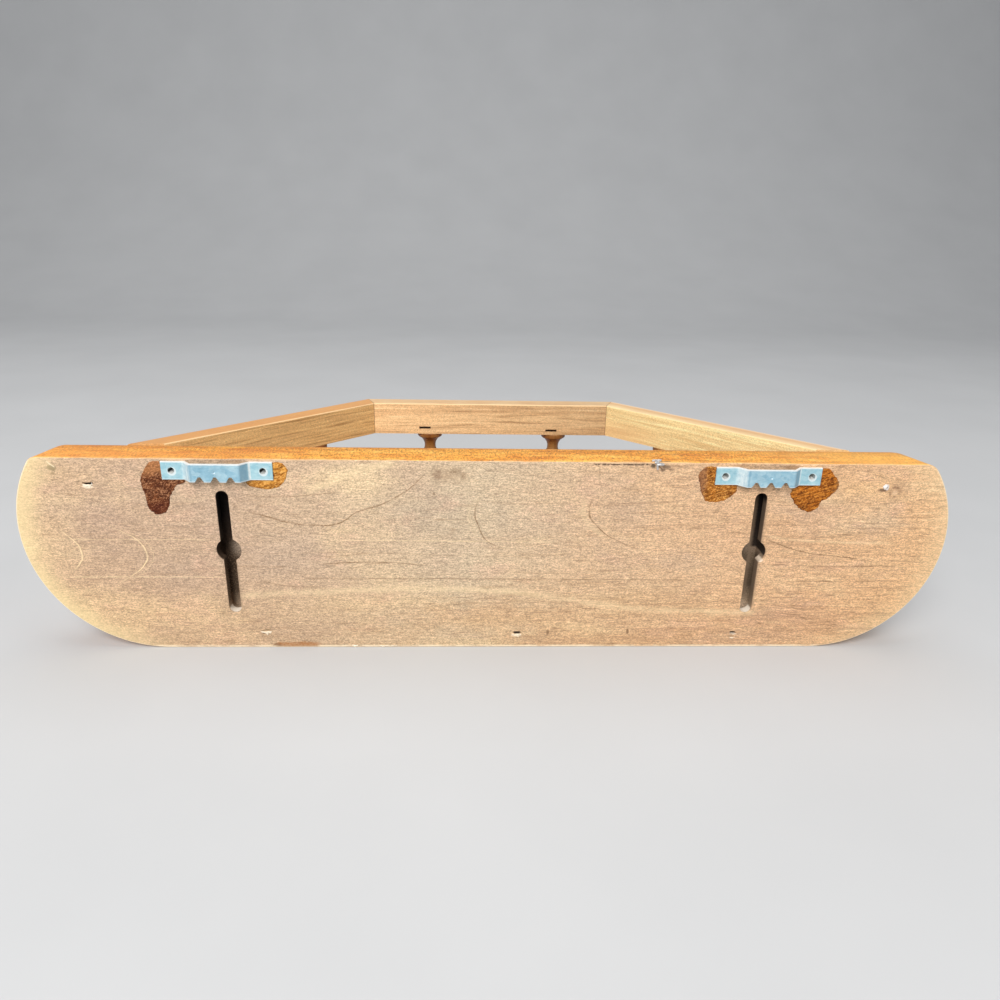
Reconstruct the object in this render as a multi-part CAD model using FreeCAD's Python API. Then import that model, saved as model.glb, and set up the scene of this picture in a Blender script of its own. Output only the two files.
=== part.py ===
import FreeCAD, Part
import math
import os

os.makedirs("parts", exist_ok=True)
V = FreeCAD.Vector

# ---------------------------------------------------------------------------
# Wall display shelf with a spindle gallery.  Millimetres, +Z up, front to -Y,
# wall to +Y.  Left and right are as seen from the front, facing the wall.
# Everything is laid out with the wall face of the back board at y = 0, and is
# shifted at the end so that the origin is under the middle of the footprint.
# ---------------------------------------------------------------------------

# back board
board_w = 358.0          # overall width
board_h = 79.4           # height
board_t = 19.05          # 3/4 in stock
board_end_r = (50.5, 48.7)      # round ends (right, left), tangent to the underside
corner_wall_r = (4.0, 6.5)      # top corners (right, left) at the wall face
corner_room_r = (11.5, 18.5)    # the same at the room face, where they are sanded rounder
board_edge_r = 3.2       # round-over of the room-side edge
board_arris_r = 0.5      # wall-side edges, only broken

# shelf board
shelf_t = 13.0
shelf_over = 3.1         # shelf stands out past the gallery rails
shelf_top_r = 3.0
shelf_bot_r = 1.5

# gallery rails: a half octagon, level with the top of the back board
rail_h = 15.0
rail_t = 10.6
rail_out_half = 61.05    # half length of the front rail, outer side
rail_reach = 82.76       # how far each side rail runs outwards, outer side
gallery_x = -0.7         # the gallery and shelf sit a little off the middle of the board
rail_depth = 103.2       # wall face to the front of the front rail
rail_edge_r = 2.0
rail_arris_r = 0.6

# turned spindles
spindle_r = 6.0          # collars
spindle_collar = 1.7     # flat height of the collars
spindle_neck_r = 2.72
spindle_bead_r = 4.7
spindle_belly_r = 6.0
spindle_front_x = (29.3, -32.2)   # the two front spindles (right, left)
spindle_side_a = 34.0    # along each side rail from its mitre
spindle_side_b = 88.0
tenon_r = 3.175          # 1/4 in tenons
tenon_len = 9.0
tenon_hole = 9.6

# keyhole hanging slots, routed with a 3/8 in keyhole cutter
slot_x = (101.55, -102.65)
slot_step = (0.5, 0.0)    # the upper run is offset outwards by this much (right, left)
slot_w = 4.76
slot_top = (66.9, 67.4)   # (right, left)
slot_bot = 15.9
entry_z = 42.7
entry_d = 9.53
slot_lip = 4.0
slot_depth = 10.0

# sawtooth hangers
hang_len = 40.5
hang_w = 6.9
hang_th = 0.9
hang_rise = 3.2
hang_tab = 8.5
hang_ramp = 3.0
hang_hole_in = 3.6
hang_hole_r = 1.15
hang_prong_len = 3.6
tooth_pitch = 5.6
tooth_deep = 1.95
tooth_base = 3.4
tooth_top = 1.0
hang_right = (102.45, 74.95)
hang_left = (-103.9, 74.45)

# dried glue
glue_t = 0.45

# nails and staples
brad_w = 1.1             # flat-sided brads with T heads
brad_head_w = 2.3
brad_head_h = 1.0
nail_r = 0.8             # the one round nail
nail_head_r = 1.15
nail_head_h = 1.0
shelf_nail_len = 34.0
shelf_nail_sink = 0.9
shelf_nail_x = (90.5, -10.1, -98.7)
shelf_nail_z = 6.7
rail_nail_right = (150.2, 69.2)
rail_nail_left = (-150.3, 70.3)
rail_nail_len = 39.0
rail_nail_turn = 38.0    # degrees, driven along the side rail
rail_nail_proud = 0.9    # the round one is not driven home
staple_crown = 5.6
staple_wire = 1.25
staple_leg = 7.5
staple_sink = 1.1
staple_x = (31.45, -30.5)
staple_up = (3.0, 2.1)   # above the underside of the front rail
loose_staple_x = -61.4
loose_wire_r = 0.42

# ---------------------------------------------------------------------------
rail_z0 = board_h - rail_h
rail_turn = math.atan2(rail_depth - board_t, rail_reach)   # between front rail and side rails
half_turn = math.tan(rail_turn / 2.0)
front_y = -(rail_depth + shelf_over)
back_y = hang_rise + hang_th
shift = V(0.0, -(front_y + back_y) / 2.0, 0.0)
parts = {}


def prism(pts, z0, z1):
    w = Part.makePolygon([V(x, y, z0) for x, y in pts] + [V(pts[0][0], pts[0][1], z0)])
    return Part.Face(w).extrude(V(0, 0, z1 - z0))


def edges_where(shape, test):
    return [e for e in shape.Edges if test(e)]


def rounded(shape, r, edges):
    return shape.makeFillet(r, edges) if edges else shape


def on_line(e, tests):
    return all(tests(v.Point) for v in e.Vertexes) and tests(e.CenterOfMass)


# --- back board -------------------------------------------------------------
def end_points(r, rc):
    # centre of the round end, then where it meets the corner's arc, and that arc's centre
    ex = board_w / 2.0 - r
    zc = board_h - rc
    xc = ex + math.sqrt((r - rc) ** 2 - (zc - r) ** 2)
    return ex, math.atan2(zc - r, xc - ex), xc, zc


def outline_wire(y, corners):
    def side(s, r, rc):
        ex, a, xc, zc = end_points(r, rc)
        on = lambda px, pz, rad, t: V(s * (px + rad * math.cos(t)), y, pz + rad * math.sin(t))
        low, join, top = on(ex, r, r, -math.pi / 2), on(ex, r, r, a), on(xc, zc, rc, math.pi / 2)
        end = Part.Arc(low, on(ex, r, r, (a - math.pi / 2) / 2), join).toShape()
        cor = Part.Arc(join, on(xc, zc, rc, (a + math.pi / 2) / 2), top).toShape()
        return low, end, cor, top
    rl, re, rc_, rt = side(1, board_end_r[0], corners[0])
    ll, le, lc, lt = side(-1, board_end_r[1], corners[1])
    return Part.Wire([Part.LineSegment(ll, rl).toShape(), re, rc_, Part.LineSegment(rt, lt).toShape(), lc, le])


board = Part.makeLoft([outline_wire(0.0, corner_wall_r), outline_wire(-board_t, corner_room_r)], True, True)
front_edge = edges_where(board, lambda e: on_line(e, lambda p: abs(p.y + board_t) < 1e-6))
board = rounded(board, board_edge_r, front_edge)
wall_edge = edges_where(board, lambda e: on_line(e, lambda p: abs(p.y) < 1e-6))
board = rounded(board, board_arris_r, wall_edge)


def keyhole(x, x_up, z_top):
    def run(cx, z0, z1, w, y0, y1):
        r = w / 2.0
        a = Part.makeBox(w, y1 - y0, z1 - z0, V(cx - r, y0, z0))
        ends = [Part.makeCylinder(r, y1 - y0, V(cx, y0, z), V(0, 1, 0)) for z in (z0, z1)]
        return a.fuse(ends).removeSplitter()
    runs = []
    for cx, z0, z1 in ((x_up, entry_z, z_top - slot_w / 2.0), (x, slot_bot + slot_w / 2.0, entry_z)):
        runs.append(run(cx, z0, z1, slot_w, -slot_depth, 1.0))
        runs.append(run(cx, z0, z1, entry_d, -slot_depth, -slot_lip))
    h = Part.makeCylinder(entry_d / 2.0, slot_depth + 1.0, V(x, -slot_depth, entry_z), V(0, 1, 0))
    return h.fuse(runs).removeSplitter()


for sx, step, zt in zip(slot_x, slot_step, slot_top):
    board = board.cut(keyhole(sx, sx + step, zt))

# --- shelf board ------------------------------------------------------------
so = rail_out_half + shelf_over * half_turn
sb = rail_out_half + rail_reach + shelf_over / math.sin(rail_turn)
shelf = prism([(-so, front_y), (so, front_y), (sb, -board_t), (-sb, -board_t)], 0.0, shelf_t)
shelf = rounded(shelf, 4.0, edges_where(shelf, lambda e: len(e.Vertexes) == 2
                and abs(e.Vertexes[0].Z - e.Vertexes[1].Z) > 1.0
                and e.CenterOfMass.y < front_y + 1.0))
off_wall = lambda e: e.CenterOfMass.y < -board_t - 0.5
shelf = rounded(shelf, shelf_top_r, edges_where(shelf, lambda e: off_wall(e)
                and on_line(e, lambda p: abs(p.z - shelf_t) < 1e-6)))
shelf = rounded(shelf, shelf_bot_r, edges_where(shelf, lambda e: off_wall(e)
                and on_line(e, lambda p: abs(p.z) < 1e-6)))

shelf.translate(V(gallery_x, 0, 0))

# --- gallery rails ----------------------------------------------------------
ri = rail_out_half - rail_t * half_turn
rob = rail_out_half + rail_reach
rib = rob - rail_t / math.sin(rail_turn)


def finish_rail(r, outer, inner):
    e = edges_where(r, lambda e: on_line(e, outer) and abs(e.Vertexes[0].Z - e.Vertexes[1].Z) < 1e-6)
    r = rounded(r, rail_edge_r, e)
    e = edges_where(r, lambda e: on_line(e, inner) and abs(e.CenterOfMass.z - board_h) < 1e-6)
    return rounded(r, rail_arris_r, e)


front_rail = prism([(-rail_out_half, -rail_depth), (rail_out_half, -rail_depth),
                    (ri, -rail_depth + rail_t), (-ri, -rail_depth + rail_t)], rail_z0, board_h)
front_rail = finish_rail(front_rail, lambda p: abs(p.y + rail_depth) < 1e-6,
                         lambda p: abs(p.y + rail_depth - rail_t) < 1e-6)


def side_rail(s):
    r = prism([(s * rail_out_half, -rail_depth), (s * rob, -board_t),
               (s * rib, -board_t), (s * ri, -rail_depth + rail_t)], rail_z0, board_h)
    sn, cs = math.sin(rail_turn), math.cos(rail_turn)
    ko = rail_out_half * sn + rail_depth * cs
    return finish_rail(r, lambda p: abs(s * p.x * sn - p.y * cs - ko) < 1e-5,
                       lambda p: abs(s * p.x * sn - p.y * cs - ko + rail_t) < 1e-5)


right_rail = side_rail(1)
left_rail = side_rail(-1)
for r in (front_rail, left_rail, right_rail):
    r.translate(V(gallery_x, 0, 0))

# --- spindles ---------------------------------------------------------------
z_lo, z_hi = shelf_t, rail_z0
span = z_hi - z_lo


def half_profile():
    # (distance from the collar's face, radius) down to the middle of the belly
    m = span / 2.0
    return [(spindle_collar + 0.2, spindle_r - 0.1), (2.35, 5.4), (2.9, 4.5), (3.85, 3.65), (5.0, 3.03), (6.3, spindle_neck_r),
            (7.6, spindle_neck_r + 0.02), (8.6, 2.97), (9.6, 3.6), (10.6, 4.3), (11.6, spindle_bead_r), (12.6, 4.4),
            (13.6, 3.75), (14.6, 3.4), (16.0, 3.5), (18.0, 4.1), (20.3, 4.95),
            (22.5, 5.6), (24.3, 5.92), (m, spindle_belly_r)]


def spindle(x, y):
    h = half_profile()
    up = [(z_lo + d, r) for d, r in h]
    dn = [(z_hi - d, r) for d, r in reversed(h[:-1])]
    pts = [V(r, 0, z) for z, r in up + dn]
    curve = Part.BSplineCurve()
    curve.interpolate(pts)
    a, b = pts[0], pts[-1]
    c = 0.4
    seg = [V(0, 0, z_lo - tenon_len), V(tenon_r - c, 0, z_lo - tenon_len), V(tenon_r, 0, z_lo - tenon_len + c),
           V(tenon_r, 0, z_lo), V(spindle_r - c, 0, z_lo), V(spindle_r, 0, z_lo + c), V(spindle_r, 0, z_lo + spindle_collar), a]
    top = [b, V(spindle_r, 0, z_hi - spindle_collar), V(spindle_r, 0, z_hi - c), V(spindle_r - c, 0, z_hi),
           V(tenon_r, 0, z_hi), V(tenon_r, 0, z_hi + tenon_len - c), V(tenon_r - c, 0, z_hi + tenon_len),
           V(0, 0, z_hi + tenon_len), V(0, 0, z_lo - tenon_len)]
    ed = [Part.LineSegment(p, q).toShape() for p, q in zip(seg[:-1], seg[1:])]
    ed.append(curve.toShape())
    ed += [Part.LineSegment(p, q).toShape() for p, q in zip(top[:-1], top[1:])]
    s = Part.Face(Part.Wire(ed)).revolve(V(0, 0, 0), V(0, 0, 1), 360)
    if s.ShapeType != "Solid":
        s = s.Solids[0]
    s.translate(V(x, y, 0))
    return s


mid_y = -(rail_depth - rail_t / 2.0)
mid_x = rail_out_half - rail_t / 2.0 * half_turn


def along(s, a):
    return (gallery_x + s * (mid_x + a * math.cos(rail_turn)), mid_y + a * math.sin(rail_turn))


places = {
    "spindle_front_left": (spindle_front_x[1], mid_y),
    "spindle_front_right": (spindle_front_x[0], mid_y),
    "spindle_left_front": along(-1, spindle_side_a),
    "spindle_left_rear": along(-1, spindle_side_b),
    "spindle_right_front": along(1, spindle_side_a),
    "spindle_right_rear": along(1, spindle_side_b),
}
for name, (x, y) in places.items():
    parts[name] = spindle(x, y)
    hole_up = Part.makeCylinder(tenon_r, tenon_hole, V(x, y, rail_z0))
    hole_dn = Part.makeCylinder(tenon_r, tenon_hole, V(x, y, shelf_t - tenon_hole))
    shelf = shelf.cut(hole_dn)
    if "front_left" in name or "front_right" in name:
        front_rail = front_rail.cut(hole_up)
    elif "_left_" in name:
        left_rail = left_rail.cut(hole_up)
    else:
        right_rail = right_rail.cut(hole_up)

# --- staples that pin the front spindles' tenons ------------------------------
staples = []
rail_in_y = -rail_depth + rail_t
for name, x, up in (("spindle_front_right", staple_x[0], staple_up[0]), ("spindle_front_left", staple_x[1], staple_up[1])):
    z = rail_z0 + up
    w = staple_wire
    crown_y = rail_in_y - staple_sink
    crown = Part.makeBox(staple_crown, w, w, V(x - staple_crown / 2, crown_y - w, z - w / 2))
    legs = []
    for s in (-1, 1):
        lx = x + s * (staple_crown / 2 - w / 2)
        leg = Part.makeBox(w, staple_leg - w, w, V(lx - w / 2, crown_y - staple_leg, z - w / 2))
        legs.append(leg)
    st = crown.fuse(legs).removeSplitter()
    pocket = Part.makeBox(staple_crown, staple_sink + 0.2, w, V(x - staple_crown / 2, crown_y, z - w / 2))
    staples.append(st)
    front_rail = front_rail.cut(st).cut(pocket)
    parts[name] = parts[name].cut(st)
parts["spindle_staples"] = Part.makeCompound(staples)

# --- nails through the back board --------------------------------------------


def nail(p, d, length):
    d = V(d)
    d.normalize()
    tip = 2.2
    head = Part.makeCylinder(nail_head_r, nail_head_h, p, d)
    shank = Part.makeCylinder(nail_r, length - tip, p, d)
    cone = Part.makeCone(nail_r, 0.12, tip, p + d * (length - tip), d)
    return head.fuse([shank, cone]).removeSplitter()


def brad(length, sink, p, turn_deg):
    # driven from p along -Y turned by turn_deg, with the hole its head leaves behind it
    w, hw, hh = brad_w / 2.0, brad_head_w / 2.0, brad_head_h
    b = prism([(-hw, -sink), (-hw, -sink - hh), (-w, -sink - hh), (-w, -sink - length + 2.0), (-0.15, -sink - length),
               (0.15, -sink - length), (w, -sink - length + 2.0), (w, -sink - hh), (hw, -sink - hh), (hw, -sink)], -w, w)
    hole = Part.makeBox(brad_head_w, sink + 3.0, brad_w, V(-hw, -sink, -w))
    for s in (b, hole):
        s.rotate(V(0, 0, 0), V(0, 0, 1), turn_deg)
        s.translate(p)
    return b, hole


shelf_nails = []
for x in shelf_nail_x:
    n, hole = brad(shelf_nail_len, shelf_nail_sink, V(x, 0, shelf_nail_z), 0.0)
    shelf_nails.append(n)
    board = board.cut(n).cut(hole)
    shelf = shelf.cut(n)
parts["shelf_nails"] = Part.makeCompound(shelf_nails)

turn = math.radians(rail_nail_turn)
n, hole = brad(rail_nail_len, shelf_nail_sink, V(rail_nail_right[0], 0, rail_nail_right[1]), -rail_nail_turn)
board = board.cut(n).cut(hole)
right_rail = right_rail.cut(n)
d = V(math.sin(turn), -math.cos(turn), 0)
n2 = nail(V(rail_nail_left[0], 0, rail_nail_left[1]) - d * rail_nail_proud, d, rail_nail_len)
board = board.cut(n2)
left_rail = left_rail.cut(n2)
parts["rail_nails"] = Part.makeCompound([n, n2])

# --- sawtooth hangers --------------------------------------------------------


def hanger(x, z):
    h = hang_len / 2.0
    a = h - hang_tab
    b = a - hang_ramp
    low = [(-h, 0.0), (-a, 0.0), (-b, hang_rise), (b, hang_rise), (a, 0.0), (h, 0.0)]
    k = hang_th * math.tan(math.atan2(hang_rise, hang_ramp) / 2.0)
    upp = [(h, hang_th), (a + k, hang_th), (b + k, hang_rise + hang_th),
           (-b - k, hang_rise + hang_th), (-a - k, hang_th), (-h, hang_th)]
    z0 = z - hang_w / 2.0
    strip = prism([(x + px, py) for px, py in low + upp], z0, z0 + hang_w)
    bends = edges_where(strip, lambda e: len(e.Vertexes) == 2
                        and abs(e.Vertexes[0].Z - e.Vertexes[1].Z) > 1.0
                        and abs(abs(e.CenterOfMass.x - x) - h) > 0.5)
    strip = strip.makeFillet(0.6, bends)
    for i in (-1, 0, 1):
        tx = x + i * tooth_pitch
        w = Part.makePolygon([V(tx - tooth_base / 2, 1.0, z0 - 0.01), V(tx + tooth_base / 2, 1.0, z0 - 0.01),
                              V(tx + tooth_top / 2, 1.0, z0 + tooth_deep), V(tx - tooth_top / 2, 1.0, z0 + tooth_deep),
                              V(tx - tooth_base / 2, 1.0, z0 - 0.01)])
        strip = strip.cut(Part.Face(w).extrude(V(0, 5.0, 0)))
    prongs, pockets = [], []
    for s in (-1, 1):
        hx = x + s * (h - hang_hole_in)
        cone = Part.makeCone(hang_hole_r + 0.75, 0.75, hang_prong_len, V(hx, 0, z), V(0, -1, 0))
        pockets.append(cone)
        prongs.append(cone)
    body = strip.fuse(prongs)
    for s in (-1, 1):
        hx = x + s * (h - hang_hole_in)
        body = body.cut(Part.makeCone(hang_hole_r + 0.1, 0.4, hang_prong_len + hang_th + 0.2,
                                      V(hx, hang_th + 0.1, z), V(0, -1, 0)))
    dimple = Part.makeSphere(0.55, V(x, hang_rise + hang_th + 0.15, z + 0.4))
    body = body.cut(dimple)
    return body.removeSplitter(), pockets


# --- dried glue round the hangers' ends: outlines (x, z) on the wall face -----
glue_right = [
    [(124.1, 78.4), (127.2, 77.4), (129.1, 75.0), (130.6, 72.3), (131.0, 69.6), (130.4, 66.0), (129.9, 63.2),
     (129.6, 60.2), (128.0, 58.2), (126.1, 57.2), (123.4, 58.2), (121.6, 61.3), (121.0, 64.3), (119.2, 67.3),
     (117.6, 69.3), (114.9, 70.3), (115.6, 74.4), (119.5, 77.0)],
    [(83.7, 77.6), (79.3, 78.1), (77.3, 76.4), (77.0, 74.5), (78.0, 71.5), (80.3, 68.8), (83.8, 67.7),
     (88.0, 68.0), (91.4, 68.9), (92.4, 70.3), (90.6, 72.6), (86.6, 75.4)],
]
glue_left = [
    [(-84.6, 77.5), (-80.8, 78.0), (-77.9, 76.3), (-77.2, 73.8), (-78.0, 71.3), (-78.7, 68.3), (-80.0, 65.5),
     (-81.4, 64.0), (-84.4, 63.6), (-87.7, 64.2), (-90.4, 65.8), (-92.2, 67.6), (-92.6, 70.0), (-91.4, 72.8),
     (-87.6, 75.9)],
    [(-122.6, 77.1), (-126.7, 77.6), (-128.4, 76.2), (-129.9, 74.4), (-131.7, 72.2), (-131.9, 69.9), (-130.3, 67.6),
     (-128.3, 65.3), (-126.1, 64.0), (-125.4, 62.0), (-123.7, 60.4), (-120.9, 59.9), (-118.2, 61.1), (-115.9, 63.2),
     (-114.6, 65.2), (-113.6, 67.2), (-114.6, 69.9), (-117.0, 72.1), (-119.9, 75.3)],
]


def glue(outlines, keep_clear):
    out = []
    for pts in outlines:
        c = Part.BSplineCurve()
        c.interpolate([V(x, 0, z) for x, z in pts], PeriodicFlag=True)
        g = Part.Face(Part.Wire([c.toShape()])).extrude(V(0, glue_t, 0))
        g = g.cut(keep_clear)
        g = max(g.Solids, key=lambda s: s.Volume)
        out.append(g)
    return Part.makeCompound(out)


for side, (hx, hz), outl in (("right", hang_right, glue_right), ("left", hang_left, glue_left)):
    h, pockets = hanger(hx, hz)
    for p in pockets:
        board = board.cut(p)
    parts[side + "_hanger"] = h
    tab = Part.makeBox(hang_len, hang_th, hang_w, V(hx - hang_len / 2.0, 0, hz - hang_w / 2.0))
    parts[side + "_hanger_glue"] = glue(outl, tab)

# --- stray staple in the top edge, beaten over the wall-side arris -------------
sx = loose_staple_x
path = [V(sx + 2.1, -0.9, board_h - 4.5), V(sx + 1.9, -0.9, board_h + 0.42), V(sx - 1.0, -1.0, board_h + 0.48),
        V(sx + 1.2, 0.40, board_h + 0.05), V(sx - 1.9, 0.55, board_h - 0.65), V(sx + 0.5, 0.45, board_h - 0.90),
        V(sx + 0.2, 0.45, board_h - 2.5)]
bits = []
for p, q in zip(path[:-1], path[1:]):
    d = q - p
    bits.append(Part.makeCylinder(loose_wire_r, d.Length, p, d))
for p in path[1:]:
    bits.append(Part.makeSphere(loose_wire_r, p))
wire = bits[0].fuse(bits[1:]).removeSplitter()
board = board.cut(wire)
parts["stray_staple"] = wire

parts["back_board"] = board
parts["shelf_board"] = shelf
parts["front_rail"] = front_rail
parts["left_rail"] = left_rail
parts["right_rail"] = right_rail

for name in sorted(parts):
    s = parts[name].copy()
    s.translate(shift)
    sol = s.Solids
    s = sol[0] if len(sol) == 1 else Part.makeCompound(sol)
    s.exportStep("parts/%s.step" % name)
    b = s.BoundBox
    print("%-22s solids %d valid %s vol %.1f  x %.2f %.2f  y %.2f %.2f  z %.2f %.2f" % (
        name, len(sol), s.isValid(), s.Volume, b.XMin, b.XMax, b.YMin, b.YMax, b.ZMin, b.ZMax))
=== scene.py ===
import math

import bpy
import bmesh
from mathutils import Matrix, Vector, noise as mnoise


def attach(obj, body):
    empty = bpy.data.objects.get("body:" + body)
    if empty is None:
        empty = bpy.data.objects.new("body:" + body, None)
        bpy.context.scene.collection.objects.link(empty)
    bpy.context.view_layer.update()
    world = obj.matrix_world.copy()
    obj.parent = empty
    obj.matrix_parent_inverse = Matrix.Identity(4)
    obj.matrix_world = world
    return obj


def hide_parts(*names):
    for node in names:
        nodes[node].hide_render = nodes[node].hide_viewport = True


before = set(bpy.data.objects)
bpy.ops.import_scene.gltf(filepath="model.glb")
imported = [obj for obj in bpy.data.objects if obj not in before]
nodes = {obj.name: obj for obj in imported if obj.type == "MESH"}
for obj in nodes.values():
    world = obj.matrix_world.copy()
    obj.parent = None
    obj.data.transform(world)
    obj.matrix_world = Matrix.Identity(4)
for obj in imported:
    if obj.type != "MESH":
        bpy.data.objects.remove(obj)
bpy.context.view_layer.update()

sc = bpy.context.scene
WALL = 51.1                       # mm, the wall face of the back board in the shared frame
TOP = 79.4                        # mm, the top of the back board
END_R = (50.5, 48.7)              # round ends, right and left
END_X = (179.0 - 50.5, 179.0 - 48.7)
SLOT_X = (101.55, -102.65)
HANG = {"right": (102.45, 74.95), "left": (-103.9, 74.45)}
HANG_L, HANG_W, HANG_TAB, HANG_HOLE = 40.5, 6.9, 8.5, 3.6


# ---------------------------------------------------------------------------
# node helper
# ---------------------------------------------------------------------------
class Mat:
    def __init__(self, name):
        self.m = bpy.data.materials.new(name)
        self.m.use_nodes = True
        self.t = self.m.node_tree
        self.t.nodes.clear()
        self.out = self.new("ShaderNodeOutputMaterial")
        self.b = self.new("ShaderNodeBsdfPrincipled")
        self.t.links.new(self.b.outputs[0], self.out.inputs[0])
        tc = self.new("ShaderNodeTexCoord")
        self.P = self.vm("SCALE", tc.outputs["Object"], s=1000.0)
        self.Nrm = tc.outputs["Normal"]
        self.x, self.y, self.z = self.xyz(self.P)
        self.nx, self.ny, self.nz = self.xyz(self.Nrm)

    def new(self, kind):
        return self.t.nodes.new(kind)

    def put(self, sock, v):
        if isinstance(v, bpy.types.NodeSocket):
            self.t.links.new(v, sock)
        elif isinstance(v, (tuple, list)) and len(v) == 3 and sock.type == "RGBA":
            sock.default_value = (*v, 1.0)
        else:
            sock.default_value = v

    def math(self, op, a, b=None, c=None, clamp=False):
        n = self.new("ShaderNodeMath")
        n.operation = op
        n.use_clamp = clamp
        for i, v in enumerate((a, b, c)):
            if v is not None:
                self.put(n.inputs[i], v)
        return n.outputs[0]

    def add(self, a, b): return self.math("ADD", a, b)
    def sub(self, a, b): return self.math("SUBTRACT", a, b)
    def mul(self, a, b): return self.math("MULTIPLY", a, b)
    def mx(self, a, b): return self.math("MAXIMUM", a, b)
    def mn(self, a, b): return self.math("MINIMUM", a, b)
    def ab(self, a): return self.math("ABSOLUTE", a)
    def inv(self, a): return self.math("SUBTRACT", 1.0, a)

    def vm(self, op, a, b=None, s=None):
        n = self.new("ShaderNodeVectorMath")
        n.operation = op
        self.put(n.inputs[0], a)
        if b is not None:
            self.put(n.inputs[1], b)
        if s is not None:
            self.put(n.inputs["Scale"], s)
        return n.outputs["Value"] if op in ("LENGTH", "DOT_PRODUCT", "DISTANCE") else n.outputs[0]

    def tone(self, color, f):
        """The colour made lighter or darker by the factor f, up to twice as light."""
        if isinstance(f, float):
            return self.mix(1.0, color, (f, f, f), "MULTIPLY")
        return self.mix(self.mul(f, 0.5), (0.0, 0.0, 0.0), self.mix(1.0, color, (2.0, 2.0, 2.0), "MULTIPLY"))

    def xyz(self, v):
        n = self.new("ShaderNodeSeparateXYZ")
        self.put(n.inputs[0], v)
        return n.outputs[0], n.outputs[1], n.outputs[2]

    def comb(self, x, y, z):
        n = self.new("ShaderNodeCombineXYZ")
        for i, v in enumerate((x, y, z)):
            self.put(n.inputs[i], v)
        return n.outputs[0]

    def noise(self, vec, scale=(1, 1, 1), detail=2.0, rough=0.5, dist=0.0, seed=0.0):
        v = self.vm("MULTIPLY", vec, tuple(scale))
        if seed:
            v = self.vm("ADD", v, (seed, seed * 1.7, seed * 0.6))
        n = self.new("ShaderNodeTexNoise")
        self.put(n.inputs["Vector"], v)
        n.inputs["Scale"].default_value = 1.0
        n.inputs["Detail"].default_value = detail
        n.inputs["Roughness"].default_value = rough
        n.inputs["Distortion"].default_value = dist
        return n.outputs[0]

    def voronoi(self, vec, scale=(1, 1, 1), feature="F1", out="Distance"):
        v = self.vm("MULTIPLY", vec, tuple(scale))
        n = self.new("ShaderNodeTexVoronoi")
        n.feature = feature
        self.put(n.inputs["Vector"], v)
        n.inputs["Scale"].default_value = 1.0
        return n.outputs[out]

    def rng(self, v, a, b, c=0.0, d=1.0, smooth=True):
        n = self.new("ShaderNodeMapRange")
        n.interpolation_type = "SMOOTHSTEP" if smooth else "LINEAR"
        n.clamp = True
        for k, val in (("Value", v), ("From Min", a), ("From Max", b), ("To Min", c), ("To Max", d)):
            self.put(n.inputs[k], val)
        return n.outputs[0]

    def lin(self, v, a, b, c=0.0, d=1.0):
        return self.rng(v, a, b, c, d, smooth=False)

    def mix(self, f, a, b, blend="MIX"):
        n = self.new("ShaderNodeMix")
        n.data_type = "RGBA"
        n.blend_type = blend
        n.clamp_factor = True
        self.put(n.inputs[0], f)
        self.put(n.inputs[6], a)
        self.put(n.inputs[7], b)
        return n.outputs[2]

    def fmix(self, f, a, b):
        n = self.new("ShaderNodeMix")
        n.data_type = "FLOAT"
        n.clamp_factor = True
        self.put(n.inputs[0], f)
        self.put(n.inputs[2], a)
        self.put(n.inputs[3], b)
        return n.outputs[0]

    def ramp(self, f, stops, ease=False):
        n = self.new("ShaderNodeValToRGB")
        n.color_ramp.interpolation = "EASE" if ease else "LINEAR"
        el = n.color_ramp.elements
        while len(el) < len(stops):
            el.new(0.5)
        for e, (p, c) in zip(el, stops):
            e.position = p
            e.color = (*c, 1.0)
        self.put(n.inputs[0], f)
        return n.outputs[0]

    def curve(self, v, pts, lo, hi, olo, ohi):
        """A smooth function of v through pts, as a lookup curve."""
        n = self.new("ShaderNodeFloatCurve")
        self.put(n.inputs["Value"], self.lin(v, lo, hi))
        c = n.mapping.curves[0]
        pts = sorted(pts)
        n01 = [((p - lo) / (hi - lo), (q - olo) / (ohi - olo)) for p, q in pts]
        c.points[0].location = n01[0]
        c.points[1].location = n01[-1]
        for p in n01[1:-1]:
            c.points.new(*p)
        n.mapping.update()
        return self.lin(n.outputs[0], 0.0, 1.0, olo, ohi)

    def line(self, pts, along, width, wob=None, fade=3.0, side=0.0):
        """1 on a thin line drawn through pts (x, z), a function of x or of z."""
        i, j = (0, 1) if along == "x" else (1, 0)
        a = [p[i] for p in pts]
        b = [p[j] for p in pts]
        lo, hi, olo, ohi = min(a), max(a), min(b) - 0.5, max(b) + 0.5
        v, o = (self.x, self.z) if along == "x" else (self.z, self.x)
        c = self.curve(v, [(p[i], p[j]) for p in pts], lo, hi, olo, ohi)
        d = self.sub(o, c)
        if side:
            d = self.add(d, side)
        if wob is not None:
            d = self.add(d, wob)
        d = self.ab(d)
        on = self.rng(d, 0.0, width, 1.0, 0.0)
        ends = self.mul(self.rng(v, lo, lo + fade), self.rng(v, hi - fade, hi, 1.0, 0.0))
        return self.mul(on, ends)

    def blob(self, cx, cz, rx, rz, wob=None, soft=0.6):
        """1 in a soft spot on the wall face."""
        dx = self.mul(self.sub(self.x, cx), 1.0 / rx)
        dz = self.mul(self.sub(self.z, cz), 1.0 / rz)
        d = self.math("SQRT", self.add(self.mul(dx, dx), self.mul(dz, dz)))
        if wob is not None:
            d = self.add(d, wob)
        return self.rng(d, 1.0 - soft, 1.0, 1.0, 0.0)

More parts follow.
